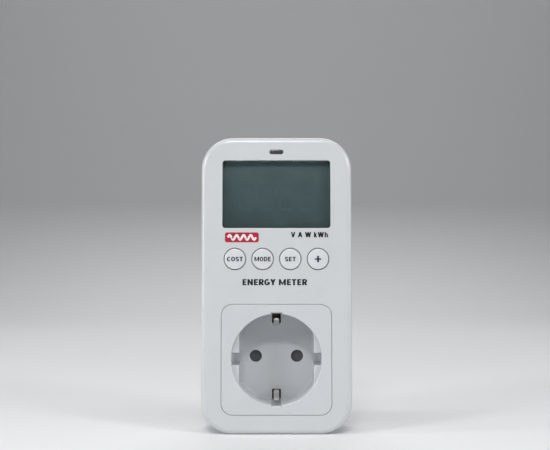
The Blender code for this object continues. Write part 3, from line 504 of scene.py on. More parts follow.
LCD_FILM = liquid_crystal()
# Painted shadow: a darker grey-green for a strip across the display's top, where the window's upper edge
# shades the film.
LCD_PAINTED_SHADOW = printed_ink("lcd_painted_shadow", (0.068, 0.094, 0.100), 0.4)
LCD_GHOST = printed_ink("lcd_ghost", (0.056, 0.082, 0.087), 0.4)
ACRYLIC = clear_acrylic()


def finish_piece(obj, material, node, body="housing", replaces=True):
    """Gives a piece its material and its body, and hides the CAD node that it stands for; with replaces off,
    the node that it lies on stays shown.
    """
    obj.data.materials.clear()
    obj.data.materials.append(material)
    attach(obj, body)
    if replaces:
        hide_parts(node)


# -------- case

def middle_of(node):
    """The (x, z) centre of a CAD node."""
    low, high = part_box(node)
    return (low.x + high.x) / 2, (low.z + high.z) / 2


def case_rings(levels):
    return rounded_rings(CASE_WIDTH, CASE_HEIGHT, CASE_CORNER, levels, 20, (0.0, CASE_Z), tighten=True)


def case_half(name, y_face, y_rim, wall, outward):
    """Half of the case as one closed skin. outward is -1 for the front and +1 for the back."""
    rim_bevel, cove = 0.35 * MM, 0.6 * MM
    levels = [(wall, y_rim), (rim_bevel, y_rim), (0.0, y_rim + outward * rim_bevel)]
    for inset, rise in fillet_arc(EDGE_FILLET, 10):
        levels.append((inset, y_face - outward * (EDGE_FILLET - rise)))
    outer = loft(name, case_rings(levels))
    hollow = [(wall, y_rim - outward * 1.0 * MM), (wall, y_face - outward * (wall + cove)),
              (wall + cove, y_face - outward * wall)]
    return boolean(outer, "DIFFERENCE", [loft("hollow", case_rings(hollow))])


def make_front_case():
    """The front shell, with a ledge round the insert's cup, and its openings."""
    obj = case_half("front_case", FRONT_Y, PARTING_FRONT_Y, FRONT_WALL, -1.0)
    ledge_span, ledge_y, through = mm(-27.0, 27.0), (FRONT_Y + 1.0 * MM, -46.5 * MM), 4.0 * MM
    boolean(obj, "UNION", [block("ledge", ledge_span, ledge_y, ledge_span)])
    pocket = rect_outline(INSERT_WIDTH + 2 * SEAM, INSERT_HEIGHT + 2 * SEAM, INSERT_CORNER + SEAM, steps=14)
    window = rect_outline(WINDOW_WIDTH, WINDOW_HEIGHT, WINDOW_CORNER, (0.0, WINDOW_Z))
    slot = rect_outline(SLOT_WIDTH, SLOT_HEIGHT, SLOT_HEIGHT / 2 - 0.01 * MM, (0.0, LENS_Z))
    cutters = [
        flared_cutter("pocket", pocket, FRONT_Y, 2.0 * MM, 0.12 * MM),
        rod("cup_hole", CUP_RADIUS + GAP, (FRONT_Y - MM, -45.5 * MM), steps=96),
        flared_cutter("window", window, FRONT_Y, through, 0.35 * MM),
        flared_cutter("slot", slot, FRONT_Y, through, 0.3 * MM),
    ]
    for name in BUTTONS:
        hole = round_outline(BUTTON_RADIUS + BUTTON_CLEARANCE, middle_of(f"button_{name}"))
        cutters.append(flared_cutter(f"hole_{name}", hole, FRONT_Y, through, 0.2 * MM))
    smooth(boolean(obj, "DIFFERENCE", cutters))
    finish_piece(obj, CASE_PLASTIC, "front_shell")


def screw_places():
    return [(i, middle_of(f"case_screw_{i}")) for i in range(1, 5)]


def make_back_case():
    """The rear shell, with its locating lip, screw columns, plug hole and label pocket."""
    obj = case_half("back_case", REAR_Y, PARTING_REAR_Y, REAR_WALL, 1.0)
    lip_root, lip_tip, lip_bevel = PARTING_REAR_Y + 1.5 * MM, PARTING_REAR_Y - 1.9 * MM, 0.2 * MM
    outer, inner = 2.3 * MM, 3.3 * MM
    lip = [(outer, lip_root), (outer, lip_tip + lip_bevel), (outer + lip_bevel, lip_tip), (inner, lip_tip),
           (inner, lip_root)]
    column_radius, well_radius, shank_radius = mm(3.4, 2.75, 1.5)
    column_y = (PARTING_REAR_Y + 0.2 * MM, REAR_Y - 1.5 * MM)
    columns = [rod(f"column_{i}", column_radius, column_y, place) for i, place in screw_places()]
    boolean(obj, "UNION", [loft("lip", case_rings(lip), closed=True), *columns])
    plate = rect_outline(PLATE_WIDTH + 2 * GAP, PLATE_HEIGHT + 2 * GAP, 1.2 * MM, (0.0, PLATE_Z))
    cutters = [
        flared_cutter("plug_hole", round_outline(18.9 * MM, steps=96), REAR_Y, 5.0 * MM, 0.4 * MM, 1.0),
        flared_cutter("plate_pocket", plate, REAR_Y, 0.6 * MM, 0.15 * MM, 1.0),
    ]
    for i, place in screw_places():
        well = round_outline(well_radius, place)
        cutters.append(flared_cutter(f"well_{i}", well, REAR_Y, 10.0 * MM, 0.35 * MM, 1.0))
        cutters.append(rod(f"shank_{i}", shank_radius, mm(-35.0, -27.0), place, 32))
    smooth(boolean(obj, "DIFFERENCE", cutters))
    finish_piece(obj, CASE_PLASTIC, "rear_shell")


def make_label_plate():
    """A blank film plate with a thin printed frame and ruled fields, and no lettering."""
    chamfer = 0.08 * MM
    levels = [(0.0, PLATE_LOW.y), (0.0, PLATE_HIGH.y - chamfer), (chamfer, PLATE_HIGH.y)]
    rings = rounded_rings(PLATE_WIDTH, PLATE_HEIGHT, 1.0 * MM, levels, centre=(0.0, PLATE_Z))
    finish_piece(smooth(loft("label_plate", rings)), LABEL_FILM, "rating_plate")
    ink_y = (PLATE_HIGH.y - 0.010 * MM, PLATE_HIGH.y + 0.008 * MM)
    line, margin, fields = 0.25 * MM, 2.0 * MM, 4
    left, right = margin - PLATE_WIDTH / 2, PLATE_WIDTH / 2 - margin
    low, high = PLATE_Z - PLATE_HEIGHT / 2 + margin, PLATE_Z + PLATE_HEIGHT / 2 - margin
    inside = (low + line, high - line)
    bars = [((left, right), (high - line, high)), ((left, right), (low, low + line)),
            ((left, left + line), inside), ((right - line, right), inside)]
    for i in range(1, fields):
        z = low + (high - low) * i / fields
        bars.append(((left + line, right - line), (z - line / 2, z + line / 2)))
    rules = merge("label_rules", [block("rule", x_span, ink_y, z_span) for x_span, z_span in bars])
    finish_piece(rules, LABEL_INK, "rating_plate", replaces=False)


def cross_recess(radius, depth, y_top, centre):
    """The tapered cross of a screw head, as two crossed wedges."""
    half_thick, foot = 0.24 * radius, 0.35
    tools = []
    for upright in (False, True):
        rings = []
        for share, y in ((1.0, y_top + 0.2 * MM), (1.0, y_top - 0.1 * MM), (foot, y_top - depth)):
            x, z = (half_thick, radius * share) if upright else (radius * share, half_thick)
            blade = rectangle((centre[0] - x, centre[0] + x), (centre[1] - z, centre[1] + z))
            rings.append(at_y(blade, y))
        tools.append(loft("blade", rings))
    return tools


def make_case_screws():
    """Four tapping screws: a domed head with a cross, and a thread of plain ridges."""
    crest, root, pitch = mm(1.2, 0.85, 0.7)
    head = ((0.0, 0.0), (1.2, 0.02), (1.8, 0.2), (2.2, 0.6), (2.38, 1.1), (2.38, 1.7), (2.28, 1.8),
            (1.2, 1.8))
    for i, centre in screw_places():
        low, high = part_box(f"case_screw_{i}")
        profile = [(radius * MM, high.y - drop * MM) for radius, drop in head]
        y = high.y - 2.4 * MM
        while y > low.y + 1.6 * MM:
            profile += [(crest, y), (root, y - pitch / 2)]
            y -= pitch
        profile += [(0.9 * MM, low.y + 0.8 * MM), (0.0, low.y)]
        screw = turned(f"case_screw_{i}_fine", profile, centre, 40)
        boolean(screw, "DIFFERENCE", cross_recess(1.35 * MM, 1.1 * MM, high.y, centre))
        smooth(screw, 28.0)
        finish_piece(screw, ZINC, f"case_screw_{i}")


# -------- display and indicator

def make_window():
    """The clear pane, which stands in the window on a wider flange behind the case wall."""
    low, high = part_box("display_window")
    flange_y, centre = FRONT_Y + 2.3 * MM, (0.0, WINDOW_Z)
    flange_width, flange_height, flange_corner = mm(52.0, 33.4, 2.2)
    levels = [(0.0, high.y), (0.0, flange_y)]
    rings = rounded_rings(flange_width, flange_height, flange_corner, levels, centre=centre)
    levels = [(0.0, flange_y), (0.0, low.y + 0.25 * MM), (0.07 * MM, low.y + 0.07 * MM), (0.25 * MM, low.y)]
    rings += rounded_rings(WINDOW_WIDTH - PLAY, WINDOW_HEIGHT - PLAY, 1.15 * MM, levels, centre=centre)
    finish_piece(smooth(loft("display_pane", rings)), ACRYLIC, "display_window")


def make_lcd():
    """The display cell with its sealed border and film, a dark strip of painted shadow across its top, and
    its unlit digits.
    """
    width, height, y = GLASS_HIGH.x - GLASS_LOW.x, GLASS_HIGH.z - GLASS_LOW.z, GLASS_LOW.y
    levels = [(0.0, GLASS_HIGH.y), (0.0, y + 0.5 * MM), (0.2 * MM, y + 0.32 * MM), (0.9 * MM, y + 0.32 * MM),
              (0.9 * MM, y + 0.04 * MM), (0.95 * MM, y)]
    cell = loft("lcd_cell", rounded_rings(width, height, 0.4 * MM, levels, 4, (0.0, WINDOW_Z)))
    finish_piece(smooth(cell), LCD_FILM, "lcd_glass")
    # Painted shadow: a dark strip across the top of the display, where the window's upper edge shades the
    # film.
    top, overlap, shadow_band_height = WINDOW_Z + WINDOW_HEIGHT / 2, 0.4 * MM, 4.5 * MM
    half_width = WINDOW_WIDTH / 2 + overlap
    shadow_band = block("lcd_painted_shadow", (-half_width, half_width), (y - 0.02 * MM, y + 0.01 * MM),
                   (top - shadow_band_height, top + overlap))
    finish_piece(shadow_band, LCD_PAINTED_SHADOW, "lcd_glass", replaces=False)
    make_digits()


def segment(centre, length, width, upright, y_span):
    """One bar of a digit: a flat hexagon with pointed ends."""
    half, point = length / 2, width / 2
    outline = [(-half, 0.0), (-half + point, -point), (half - point, -point), (half, 0.0),
               (half - point, point), (-half + point, point)]
    if upright:
        outline = [(-z, x) for x, z in outline]
    return prism("bar", [(centre[0] + x, centre[1] + z) for x, z in outline], y_span)


def make_digits():
    """The faint bars of four unlit seven-bar digits."""
    height, width, pitch, bar = mm(11.0, 6.0, 9.0, 1.1)
    miter = bar * 0.4
    y_span = (GLASS_LOW.y - 0.012 * MM, GLASS_LOW.y + 0.01 * MM)
    base_z = WINDOW_Z - 1.0 * MM
    bars = []
    for d in range(4):
        x = (d - 1.5) * pitch
        for level in (-1, 0, 1):
            bars.append(segment((x, base_z + level * height / 2), width - miter, bar, False, y_span))
        for side in (-1, 1):
            for level in (-1, 1):
                place = (x + side * width / 2, base_z + level * height / 4)
                bars.append(segment(place, height / 2 - miter, bar, True, y_span))
    finish_piece(merge("lcd_digits", bars), LCD_GHOST, "lcd_glass", replaces=False)


def make_indicator():
    """The light guide, a rounded bar that fills its slot."""
    width, height, y = SLOT_WIDTH - PLAY, SLOT_HEIGHT - PLAY, LENS_LOW.y
    levels = [(0.0, LENS_HIGH.y), (0.0, y + 0.25 * MM), (0.05 * MM, y + 0.1 * MM),
              (0.18 * MM, y + 0.02 * MM), (0.4 * MM, y)]
    rings = rounded_rings(width, height, height / 2 - 0.005 * MM, levels, 10, (0.0, LENS_Z), tighten=True)
    finish_piece(smooth(loft("light_guide", rings)), SMOKED, "indicator_lens")


# -------- legends

INK_FILM = 0.015 * MM
DOME_FILM = 0.04 * MM  # thicker on a dome, so that no stroke sinks into its crown


# A letter is drawn in units of the cap height from four kinds of stroke: upright bars, level bars,
# slanted bars with level ends, and arcs of an ellipse. stem is the width of an upright bar.

LETTER_GAP = 0.15
WORD_GAP = 0.38
BAR_SHARE = 0.37  # half the height of a level bar, as a share of the stem
BEND_SHARE = 0.78  # the height of an arc's band at its top, as a share of the stem


def letter_strokes(stem):
    """Each letter's width and strokes."""
    def upright(x, low=0.0, high=1.0):
        return rectangle((x - stem / 2, x + stem / 2), (low, high))

    def level(z, left, right):
        return rectangle((left, right), (z - stem * BAR_SHARE, z + stem * BAR_SHARE))

    def slant(x_start, z_start, x_end, z_end, scale=1.12):
        reach = scale * stem / 2
        return [(x_start - reach, z_start), (x_start + reach, z_start), (x_end + reach, z_end),
                (x_end - reach, z_end)]

    def bend(x, z, radius_x, radius_z, start, end, steps=18):
        """A band round part of an ellipse, from start to end degrees."""
        outer, inner = [arc(radius_x + grow, start, end, steps, (x, z), radius_z + grow * BEND_SHARE)
                        for grow in (stem / 2, -stem / 2)]
        return outer + inner[::-1]

    low, high, left = stem * BAR_SHARE, 1 - stem * BAR_SHARE, stem / 2
    return {
        " ": (WORD_GAP, []),
        "+": (0.86, [level(0.5, 0.0, 0.86), upright(0.43, 0.07, 0.93)]),
        "A": (0.80, [slant(0.112, 0.0, 0.40, 1.0), slant(0.688, 0.0, 0.40, 1.0),
                     level(0.31, 0.22, 0.58)]),
        "C": (0.74, [bend(0.39, 0.5, 0.29, 0.41, 42.0, 318.0, 26)]),
        "D": (0.76, [upright(left), level(low, 0.05, 0.36), level(high, 0.05, 0.36),
                     bend(0.34, 0.5, 0.32, 0.42, -92.0, 92.0)]),
        "E": (0.62, [upright(left), level(low, 0.05, 0.62), level(0.51, 0.05, 0.57),
                     level(high, 0.05, 0.62)]),
        "G": (0.78, [bend(0.39, 0.5, 0.29, 0.41, 45.0, 325.0, 26), level(0.43, 0.42, 0.78),
                     upright(0.68, 0.12, 0.48)]),
        "M": (1.10, [upright(left), upright(1.10 - left), slant(0.17, 1.0, 0.55, 0.10, 0.72),
                     slant(0.93, 1.0, 0.55, 0.10, 0.72)]),
        "N": (0.84, [upright(left), upright(0.84 - left), slant(0.16, 1.0, 0.68, 0.0, 0.85)]),
        "O": (0.80, [bend(0.40, 0.5, 0.30, 0.41, -3.0, 183.0), bend(0.40, 0.5, 0.30, 0.41, 177.0, 363.0)]),
        "R": (0.74, [upright(left), level(high, 0.05, 0.42), level(0.47, 0.05, 0.42),
                     bend(0.42, 0.691, 0.20, 0.221, -92.0, 92.0), slant(0.40, 0.45, 0.62, 0.0, 1.15)]),
        "S": (0.66, [bend(0.33, 0.706, 0.23, 0.206, 20.0, 272.0, 24),
                     bend(0.33, 0.294, 0.23, 0.206, -160.0, 92.0, 24)]),
        "T": (0.68, [upright(0.34), level(high, 0.0, 0.68)]),
        "V": (0.78, [slant(0.112, 1.0, 0.39, 0.0), slant(0.668, 1.0, 0.39, 0.0)]),
        "W": (1.12, [slant(0.112, 1.0, 0.33, 0.0), slant(0.56, 1.0, 0.33, 0.0),
                     slant(0.56, 1.0, 0.79, 0.0), slant(1.008, 1.0, 0.79, 0.0)]),
        "Y": (0.76, [upright(0.38, 0.0, 0.46), slant(0.115, 1.0, 0.38, 0.40),
                     slant(0.645, 1.0, 0.38, 0.40)]),
        "h": (0.60, [upright(left), upright(0.50, 0.0, 0.45), bend(0.30, 0.44, 0.20, 0.21, 0.0, 182.0)]),
        "k": (0.60, [upright(left), slant(0.46, 0.74, 0.14, 0.30), slant(0.24, 0.45, 0.49, 0.0)]),
    }


def unite(obj):
    """Turns overlapping bodies in one mesh into one clean skin, by cutting a block far away from it."""
    far = block("far_away", (90.0, 91.0), (0.0, 1.0), (0.0, 1.0))
    return boolean(obj, "DIFFERENCE", [far], overlapping=True)


def legend(name, text, stem, size, centre, y, node="front_shell", body="housing", drop=None):
    """Lettering as a thin printed film of size (width, height) about centre, standing on y.

    drop(x, z) moves the film back onto a domed surface.
    """
    letters = letter_strokes(stem)
    strokes, travel = [], 0.0
    for letter in text:
        width, outlines = letters[letter]
        for outline in outlines:
            strokes.append(prism("stroke", [(x + travel, z) for x, z in outline], (-0.5, 0.5)))
        travel += width + (LETTER_GAP if letter != " " else 0.0)
    obj = unite(merge(name, strokes))
    film = DOME_FILM if drop else INK_FILM
    xs = [v.co.x for v in obj.data.vertices]
    zs = [v.co.z for v in obj.data.vertices]
    left, right, low, high = min(xs), max(xs), min(zs), max(zs)
    for v in obj.data.vertices:
        x = ((v.co.x - left) / (right - left) - 0.5) * size[0]
        z = ((v.co.z - low) / (high - low) - 0.5) * size[1]
        back = drop(x, z) if drop else 0.0
        v.co = (centre[0] + x, y + back + (film if v.co.y > 0 else -film), centre[1] + z)
    finish_piece(obj, LEGEND_INK, node, body, replaces=False)


def wave_ribbon(name, length, height, stroke, cycles, centre, y_span):
    """A sine wave drawn as a flat band of even width."""
    steps = 24 * cycles
    line = []
    for i in range(steps + 1):
        t = i / steps
        line.append(Vector((centre[0] + (t - 0.5) * length,
                            centre[1] + height / 2 * math.sin(2 * math.pi * cycles * t))))
    left, right = [], []
    for i, point in enumerate(line):
        ahead = (line[min(i + 1, steps)] - line[max(i - 1, 0)]).normalized()
        across = Vector((-ahead.y, ahead.x)) * stroke / 2
        left.append(tuple(point + across))
        right.append(tuple(point - across))
    return prism(name, right + left[::-1], y_span)


def make_face_print():
    """The printing on the case: generic words and a plain patch with a wave, in place of any mark."""
    legend("legend_main", "ENERGY METER", 0.29, mm(28.6, 2.8), mm(-0.7, 34.0), FRONT_Y)
    legend("legend_units", "V A W kWh", 0.25, mm(16.4, 2.35), mm(14.6, 55.0), FRONT_Y)
    centre = mm(-15.3, 53.8)
    patch = prism("face_patch", rounded_rect(15.0 * MM, 4.4 * MM, 0.9 * MM, 10, centre),
                  (FRONT_Y + 0.01 * MM, FRONT_Y - 0.02 * MM))
    finish_piece(patch, PATCH_INK, "front_shell", replaces=False)
    wave = wave_ribbon("face_patch_wave", 12.4 * MM, 2.0 * MM, 0.95 * MM, 4, centre,
                       (FRONT_Y - 0.01 * MM, FRONT_Y - 0.035 * MM))
    finish_piece(wave, PALE_INK, "front_shell", replaces=False)


# -------- buttons

CAP_CROWN_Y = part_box("button_cost")[0].y + 0.045 * MM
CAP_DOME = 22.0 * MM  # the radius of the sphere that a cap's top is part of


def dome_drop(x, z):
    return (x * x + z * z) / (2 * CAP_DOME)


def make_button(name):
    """A domed cap with a rounded rim, a skirt behind the case wall and a stub on the switch."""
    rim, dome_steps = 0.5 * MM, 12
    edge = BUTTON_RADIUS - rim
    profile = []
    for i in range(dome_steps + 1):
        radius = edge * i / dome_steps
        profile.append((radius, CAP_CROWN_Y + dome_drop(radius, 0.0)))
    edge_y = profile[-1][1]
    profile += arc(rim, -80.0, 0.0, 8, (edge, edge_y + rim))
    skirt, skirt_bevel, stub = mm(5.7, 0.1, 1.5)
    skirt_y, skirt_back = FRONT_Y + FRONT_WALL + GAP, -46.6 * MM
    node = f"button_{name}"
    stub_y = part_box(node)[1].y
    profile += [(BUTTON_RADIUS, skirt_y - 0.15 * MM), (BUTTON_RADIUS + 0.15 * MM, skirt_y),
                (skirt - skirt_bevel, skirt_y), (skirt, skirt_y + skirt_bevel),
                (skirt, skirt_back - skirt_bevel), (skirt - skirt_bevel, skirt_back), (stub, skirt_back),
                (stub, stub_y), (0.0, stub_y)]
    cap = smooth(turned(f"cap_{name}", profile, middle_of(node), 96), 40.0)
    finish_piece(cap, CAP_PLASTIC, node, f"{name}_button")


def make_buttons():
    """The four caps, each with its word: the text, its stem, and its width and height in millimetres."""
    words = {"cost": ("COST", 0.255, 7.0, 2.0), "mode": ("MODE", 0.245, 7.2, 2.05),
             "set": ("SET", 0.255, 4.8, 2.0), "plus": ("+", 0.25, 2.8, 2.8)}
    for name in BUTTONS:
        make_button(name)
        text, stem, width, height = words[name]
        node = f"button_{name}"
        legend(f"legend_{name}", text, stem, mm(width, height), middle_of(node), CAP_CROWN_Y, node,
               f"{name}_button", dome_drop)


# -------- socket

def well_outline(grow, flare=0.0):
    """The plan of the socket well: a circle with side cheeks, guide notches and earth channels.

    flare widens the channels alone.
    """
    radius = WELL_RADIUS + min(grow, 0.1 * MM)
    flat, notch_half = WELL_FLAT_X + grow, WELL_NOTCH_HALF + grow
    channel, reach = CHANNEL_HALF + grow + flare / 4, CHANNEL_REACH + min(grow, 0.0) + flare
    cheek_end = math.degrees(math.acos(flat / radius))
    channel_end = math.degrees(math.acos(channel / radius))
    notch_end = math.degrees(math.asin(notch_half / radius))
    quarter = [(flat, notch_half), *arc(radius, cheek_end, channel_end, 28), (channel, reach)]
    notch = arc(radius, -notch_end, notch_end, 8)
    upper = quarter + [(-x, z) for x, z in reversed(quarter)]
    left_notch = [(-x, z) for x, z in reversed(notch)]
    return notch + upper + left_notch + [(-x, -z) for x, z in upper]


def well_cutter():
    """The well from its floor, with a small fillet there, to the cheeks' rounded front edges."""
    fillet, edge, mouth_flare = mm(0.5, 0.4, 0.6)
    edge_end = 75.0
    floor_arc = arc(fillet, 90.0, 0.0, 5, (-fillet, FLOOR_Y - fillet))
    rings = [at_y(well_outline(grow), y) for grow, y in floor_arc]
    for inset, rise in fillet_arc(edge, 5, edge_end):
        rings.append(at_y(well_outline(inset), WELL_RIM_Y + edge - rise))
    for flare, y in ((0.0, 0.75 * MM), (mouth_flare, -0.05 * MM), (mouth_flare, -MM)):
        rings.append(at_y(well_outline(inset, flare), FRONT_Y + y))
    return loft("well", rings)


def make_socket_insert():
    """The flush moulding of the socket: face plate, cup, well, pin holes, earth slots and pivot."""
    edge = 0.3 * MM
    levels = [(0.0, INSERT_BACK_Y)] + [(inset, FRONT_Y + edge - rise) for inset, rise in fillet_arc(edge, 5)]
    obj = loft("socket_faceplate", rounded_rings(INSERT_WIDTH, INSERT_HEIGHT, INSERT_CORNER, levels, 14,
                                                 tighten=True))
    cup = rod("cup", CUP_RADIUS, (INSERT_BACK_Y - MM, CUP_BACK_Y), steps=128)
    hook_reach, hook_y, hook_half = CUP_RADIUS + 1.5 * MM, FRONT_Y + 3.8 * MM, 3.5 * MM
    hooks = block("hooks", (-hook_reach, hook_reach), (hook_y, hook_y + 1.1 * MM), (-hook_half, hook_half))
    boolean(obj, "UNION", [cup, hooks])
    mouth = round_outline(WELL_RADIUS + 0.1 * MM, steps=128)
    cutters = [
        flared_cutter("mouth", mouth, FRONT_Y, WELL_RIM_Y - FRONT_Y, 0.5 * MM),
        well_cutter(),
        rod("chamber", 17.8 * MM, (FLOOR_BACK_Y, CUP_BACK_Y + MM), steps=96),
    ]
    hole_depth = FLOOR_BACK_Y - FLOOR_Y + 0.5 * MM
    for sign in (-1.0, 1.0):
        hole = round_outline(PIN_HOLE_RADIUS, (sign * PIN_X, 0.0), 56)
        cutters.append(flared_cutter("pin_hole", hole, FLOOR_Y, hole_depth, 0.45 * MM))
        slot = rect_outline(4.0 * MM, 5.0 * MM, 0.25 * MM, (0.0, sign * 17.5 * MM), 3)
        cutters.append(flared_cutter("earth_slot", slot, FLOOR_Y, 6.0 * MM, 0.15 * MM))
    boolean(obj, "DIFFERENCE", cutters)
    boolean(obj, "UNION", [rod("pivot", 1.6 * MM, (FLOOR_BACK_Y - MM, -28.5 * MM), steps=40)])
    smooth(obj, 30.0)
    finish_piece(obj, INSERT_PLASTIC, "socket_insert")


def smooth_line(corners, steps=7):
    """A Catmull-Rom curve through 2D points."""
    points = [Vector(c) for c in corners]
    padded = [points[0] * 2 - points[1], *points, points[-1] * 2 - points[-2]]
    line = []
    for a, b, c, d in zip(padded, padded[1:], padded[2:], padded[3:]):
        for i in range(steps):
            t = i / steps
            line.append(0.5 * (2 * b + (c - a) * t + (2 * a - 5 * b + 4 * c - d) * t * t
                               + (3 * b - a - 3 * c + d) * t * t * t))
    line.append(points[-1])
    return line


def strap(name, half, width, thickness, tip):
    """A sheet-metal strip bent in the Y-Z plane, symmetric about Z 0, with round tips.

    half lists (y, z) points from a tip towards the middle.
    """
    upper = smooth_line([(y * MM, z * MM) for y, z in half])
    lower = [Vector((p.x, -p.y)) for p in reversed(upper)]
    line = upper + lower
    run, travel = [0.0], 0.0
    for a, b in zip(line, line[1:]):
        travel += (b - a).length
        run.append(travel)
    rings = []
    chamfer = 0.09 * MM
    for i, point in enumerate(line):
        ahead = (line[min(i + 1, len(line) - 1)] - line[max(i - 1, 0)]).normalized()
        normal = Vector((-ahead.y, ahead.x))
        from_tip = min(run[i], travel - run[i])
        share = min(1.0, (from_tip + 0.05 * MM) / tip)
        x, t = max(0.25 * MM, width / 2 * math.sqrt(1 - (1 - share) ** 2)), thickness / 2
        section = [(x, -t + chamfer), (x, t - chamfer), (x - chamfer, t), (-x + chamfer, t),
                   (-x, t - chamfer), (-x, -t + chamfer), (-x + chamfer, -t), (x - chamfer, -t)]
        rings.append([(sx, point.x + normal.x * s, point.y + normal.y * s) for sx, s in section])
    return smooth(loft(name, rings), 50.0)


def make_earth_straps():
    """The two straps, from (y, z) points in millimetres: the socket's tongues and the plug's side clips."""
    socket_half = [(-47.7, 17.9), (-46.6, 17.3), (-44.2, 16.2), (-41.6, 15.2), (-40.0, 14.95),
                   (-38.5, 15.1), (-36.2, 15.9), (-33.8, 16.6), (-32.0, 16.8), (-27.9, 16.8), (-27.2, 16.4),
                   (-27.2, 15.0)]
    tongues = strap("socket_earth_tongues", socket_half, 2.45 * MM, 0.6 * MM, 1.2 * MM)
    finish_piece(tongues, NICKEL, "socket_earth_strap")
    plug_half = [(-2.4, 17.0), (-4.5, 17.7), (-7.5, 18.1), (-11.0, 18.1), (-14.0, 17.8), (-17.0, 17.2),
                 (-22.0, 17.2), (-22.8, 16.8), (-22.8, 15.5)]
    clips = strap("plug_earth_clips", plug_half, 4.6 * MM, 0.8 * MM, 1.0 * MM)
    finish_piece(clips, NICKEL, "plug_earth_strap")


def make_shutter():
    """The shutter disc: its ports stand one turn round from the pin holes, which it closes at rest."""
    low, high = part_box("shutter_rotor")
    radius, edge = high.x, 0.2 * MM
    profile = [(0.0, low.y), (radius - edge, low.y), (radius, low.y + edge), (radius, high.y - edge),
               (radius - edge, high.y), (0.0, high.y)]
    obj = turned("shutter_disc", profile, steps=96)
    cutters = [rod("pivot_hole", 1.9 * MM, (low.y - MM, high.y + MM), steps=40)]
    for angle in (SHUTTER_TURN, SHUTTER_TURN + math.pi):
        centre = (PIN_X * math.cos(angle), PIN_X * math.sin(angle))
        port = round_outline(PIN_HOLE_RADIUS + 0.15 * MM, centre, 48)
        cutters.append(flared_cutter("port", port, low.y, 2.4 * MM, 0.35 * MM))
    smooth(boolean(obj, "DIFFERENCE", cutters), 35.0)
    finish_piece(obj, SHUTTER_PLASTIC, "shutter_rotor", "shutter")


# -------- plug

def make_plug():
    """The round plug: a flange, a body with flats above and below its side ribs, collars and grooves."""
    radius, flange, flange_back, edge = 18.6 * MM, 21.5 * MM, PLUG_LOW.y + 0.7 * MM, 1.1 * MM
    profile = [(0.0, PLUG_LOW.y), (flange - 0.15 * MM, PLUG_LOW.y), (flange, PLUG_LOW.y + 0.15 * MM),
               (flange, flange_back - 0.1 * MM), (flange - 0.1 * MM, flange_back), (radius, flange_back)]
    profile += [(radius - inset, PLUG_HIGH.y - edge + rise) for inset, rise in fillet_arc(edge, 8)]
    profile.append((0.0, PLUG_HIGH.y))
    obj = turned("plug_body", profile, steps=128)
    inner_y = PLUG_LOW.y - MM
    cutters = []
    for sx in (-1.0, 1.0):
        for sz in (-1.0, 1.0):
            x_span = sorted((sx * 16.2 * MM, sx * 20.0 * MM))
            z_span = sorted((sz * 2.5 * MM, sz * 20.0 * MM))
            cutters.append(block("flat", x_span, (REAR_Y + 0.4 * MM, MM), z_span))
        collar = round_outline(2.7 * MM, (sx * PIN_X, 0.0), 48)
        cutters.append(flared_cutter("pin_collar", collar, PLUG_HIGH.y, 4.0 * MM, 0.3 * MM, 1.0))
        wire_x = sorted((sx * 3.3 * MM, sx * 5.9 * MM))
        cutters.append(block("wire_notch", wire_x, (inner_y, -19.9 * MM), mm(10.0, 23.0)))
        groove_z = sorted((sx * 16.5 * MM, sx * 23.0 * MM))
        cutters.append(block("earth_groove", mm(-2.9, 2.9), (inner_y, -1.4 * MM), groove_z))
    cutters.append(rod("pocket", 13.2 * MM, (inner_y, -3.0 * MM), steps=96))
    boolean(obj, "DIFFERENCE", cutters)
    bevel(obj, 0.18 * MM, 40.0)
    apply_modifiers(obj)
    smooth(obj, 38.0)
    finish_piece(obj, PLUG_PLASTIC, "plug_base")


def make_pins():
    """The two pins: a rounded tip, a fine turned ring near the plug's face and a collar inside."""
    radius, tip, ring_depth, collar = mm(2.4, 1.9, 0.06, 3.2)
    collar_back, collar_front, collar_bevel = mm(-5.0, -3.3, 0.1)
    for side in ("live", "neutral"):
        low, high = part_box(f"{side}_pin")
        profile = [(0.0, high.y), *arc(tip, 82.5, 0.0, 11, (radius - tip, high.y - tip)),
                   (radius, 1.0 * MM), (radius - ring_depth, 0.9 * MM), (radius - ring_depth, 0.5 * MM),
                   (radius, 0.4 * MM), (radius, collar_front), (collar - collar_bevel, collar_front),
                   (collar, collar_front - collar_bevel), (collar, collar_back + collar_bevel),
                   (collar - collar_bevel, collar_back), (radius, collar_back),
                   (radius, low.y + 0.3 * MM), (radius - 0.3 * MM, low.y), (0.0, low.y)]
        centre = ((low.x + high.x) / 2, 0.0)
        pin = smooth(turned(f"{side}_pin_fine", profile, centre, 64), 35.0)
        finish_piece(pin, PIN_NICKEL, f"{side}_pin")


# -------- the inside

def capped(name, node, axis, ends, colour, end_colour, roughness=0.4):
    """A sleeve of one colour on a CAD node, bare metal for those lengths at its two ends along an axis."""
    low, high = [corner["XYZ".index(axis)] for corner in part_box(node)]
    material = new_material(name, colour, roughness)
    place = add_node(material, "SeparateXYZ", {"Vector": own_space(material)}).outputs[axis]
    bare = compute(material, "MAXIMUM", compute(material, "GREATER_THAN", place, high - ends[1]),
                   compute(material, "LESS_THAN", place, low + ends[0]))
    paint = add_node(material, "Mix")
    paint.data_type = "RGBA"
    feed(paint, {"A": (*colour, 1.0), "B": (*end_colour, 1.0), "Factor": bare})
    wear = noise(material, 900.0, 4.0)
    worn = add_node(material, "VectorMath")
    worn.operation = "SCALE"
    feed(worn, {0: paint.outputs["Result"], "Scale": remap(material, wear, 0.85, 1.1, 0.0, 1.0)})
    shade(material, {"Base Color": worn.outputs["Vector"], "Metallic": bare})
    bump(material, wear, 0.02 * MM, 0.4)
    return material


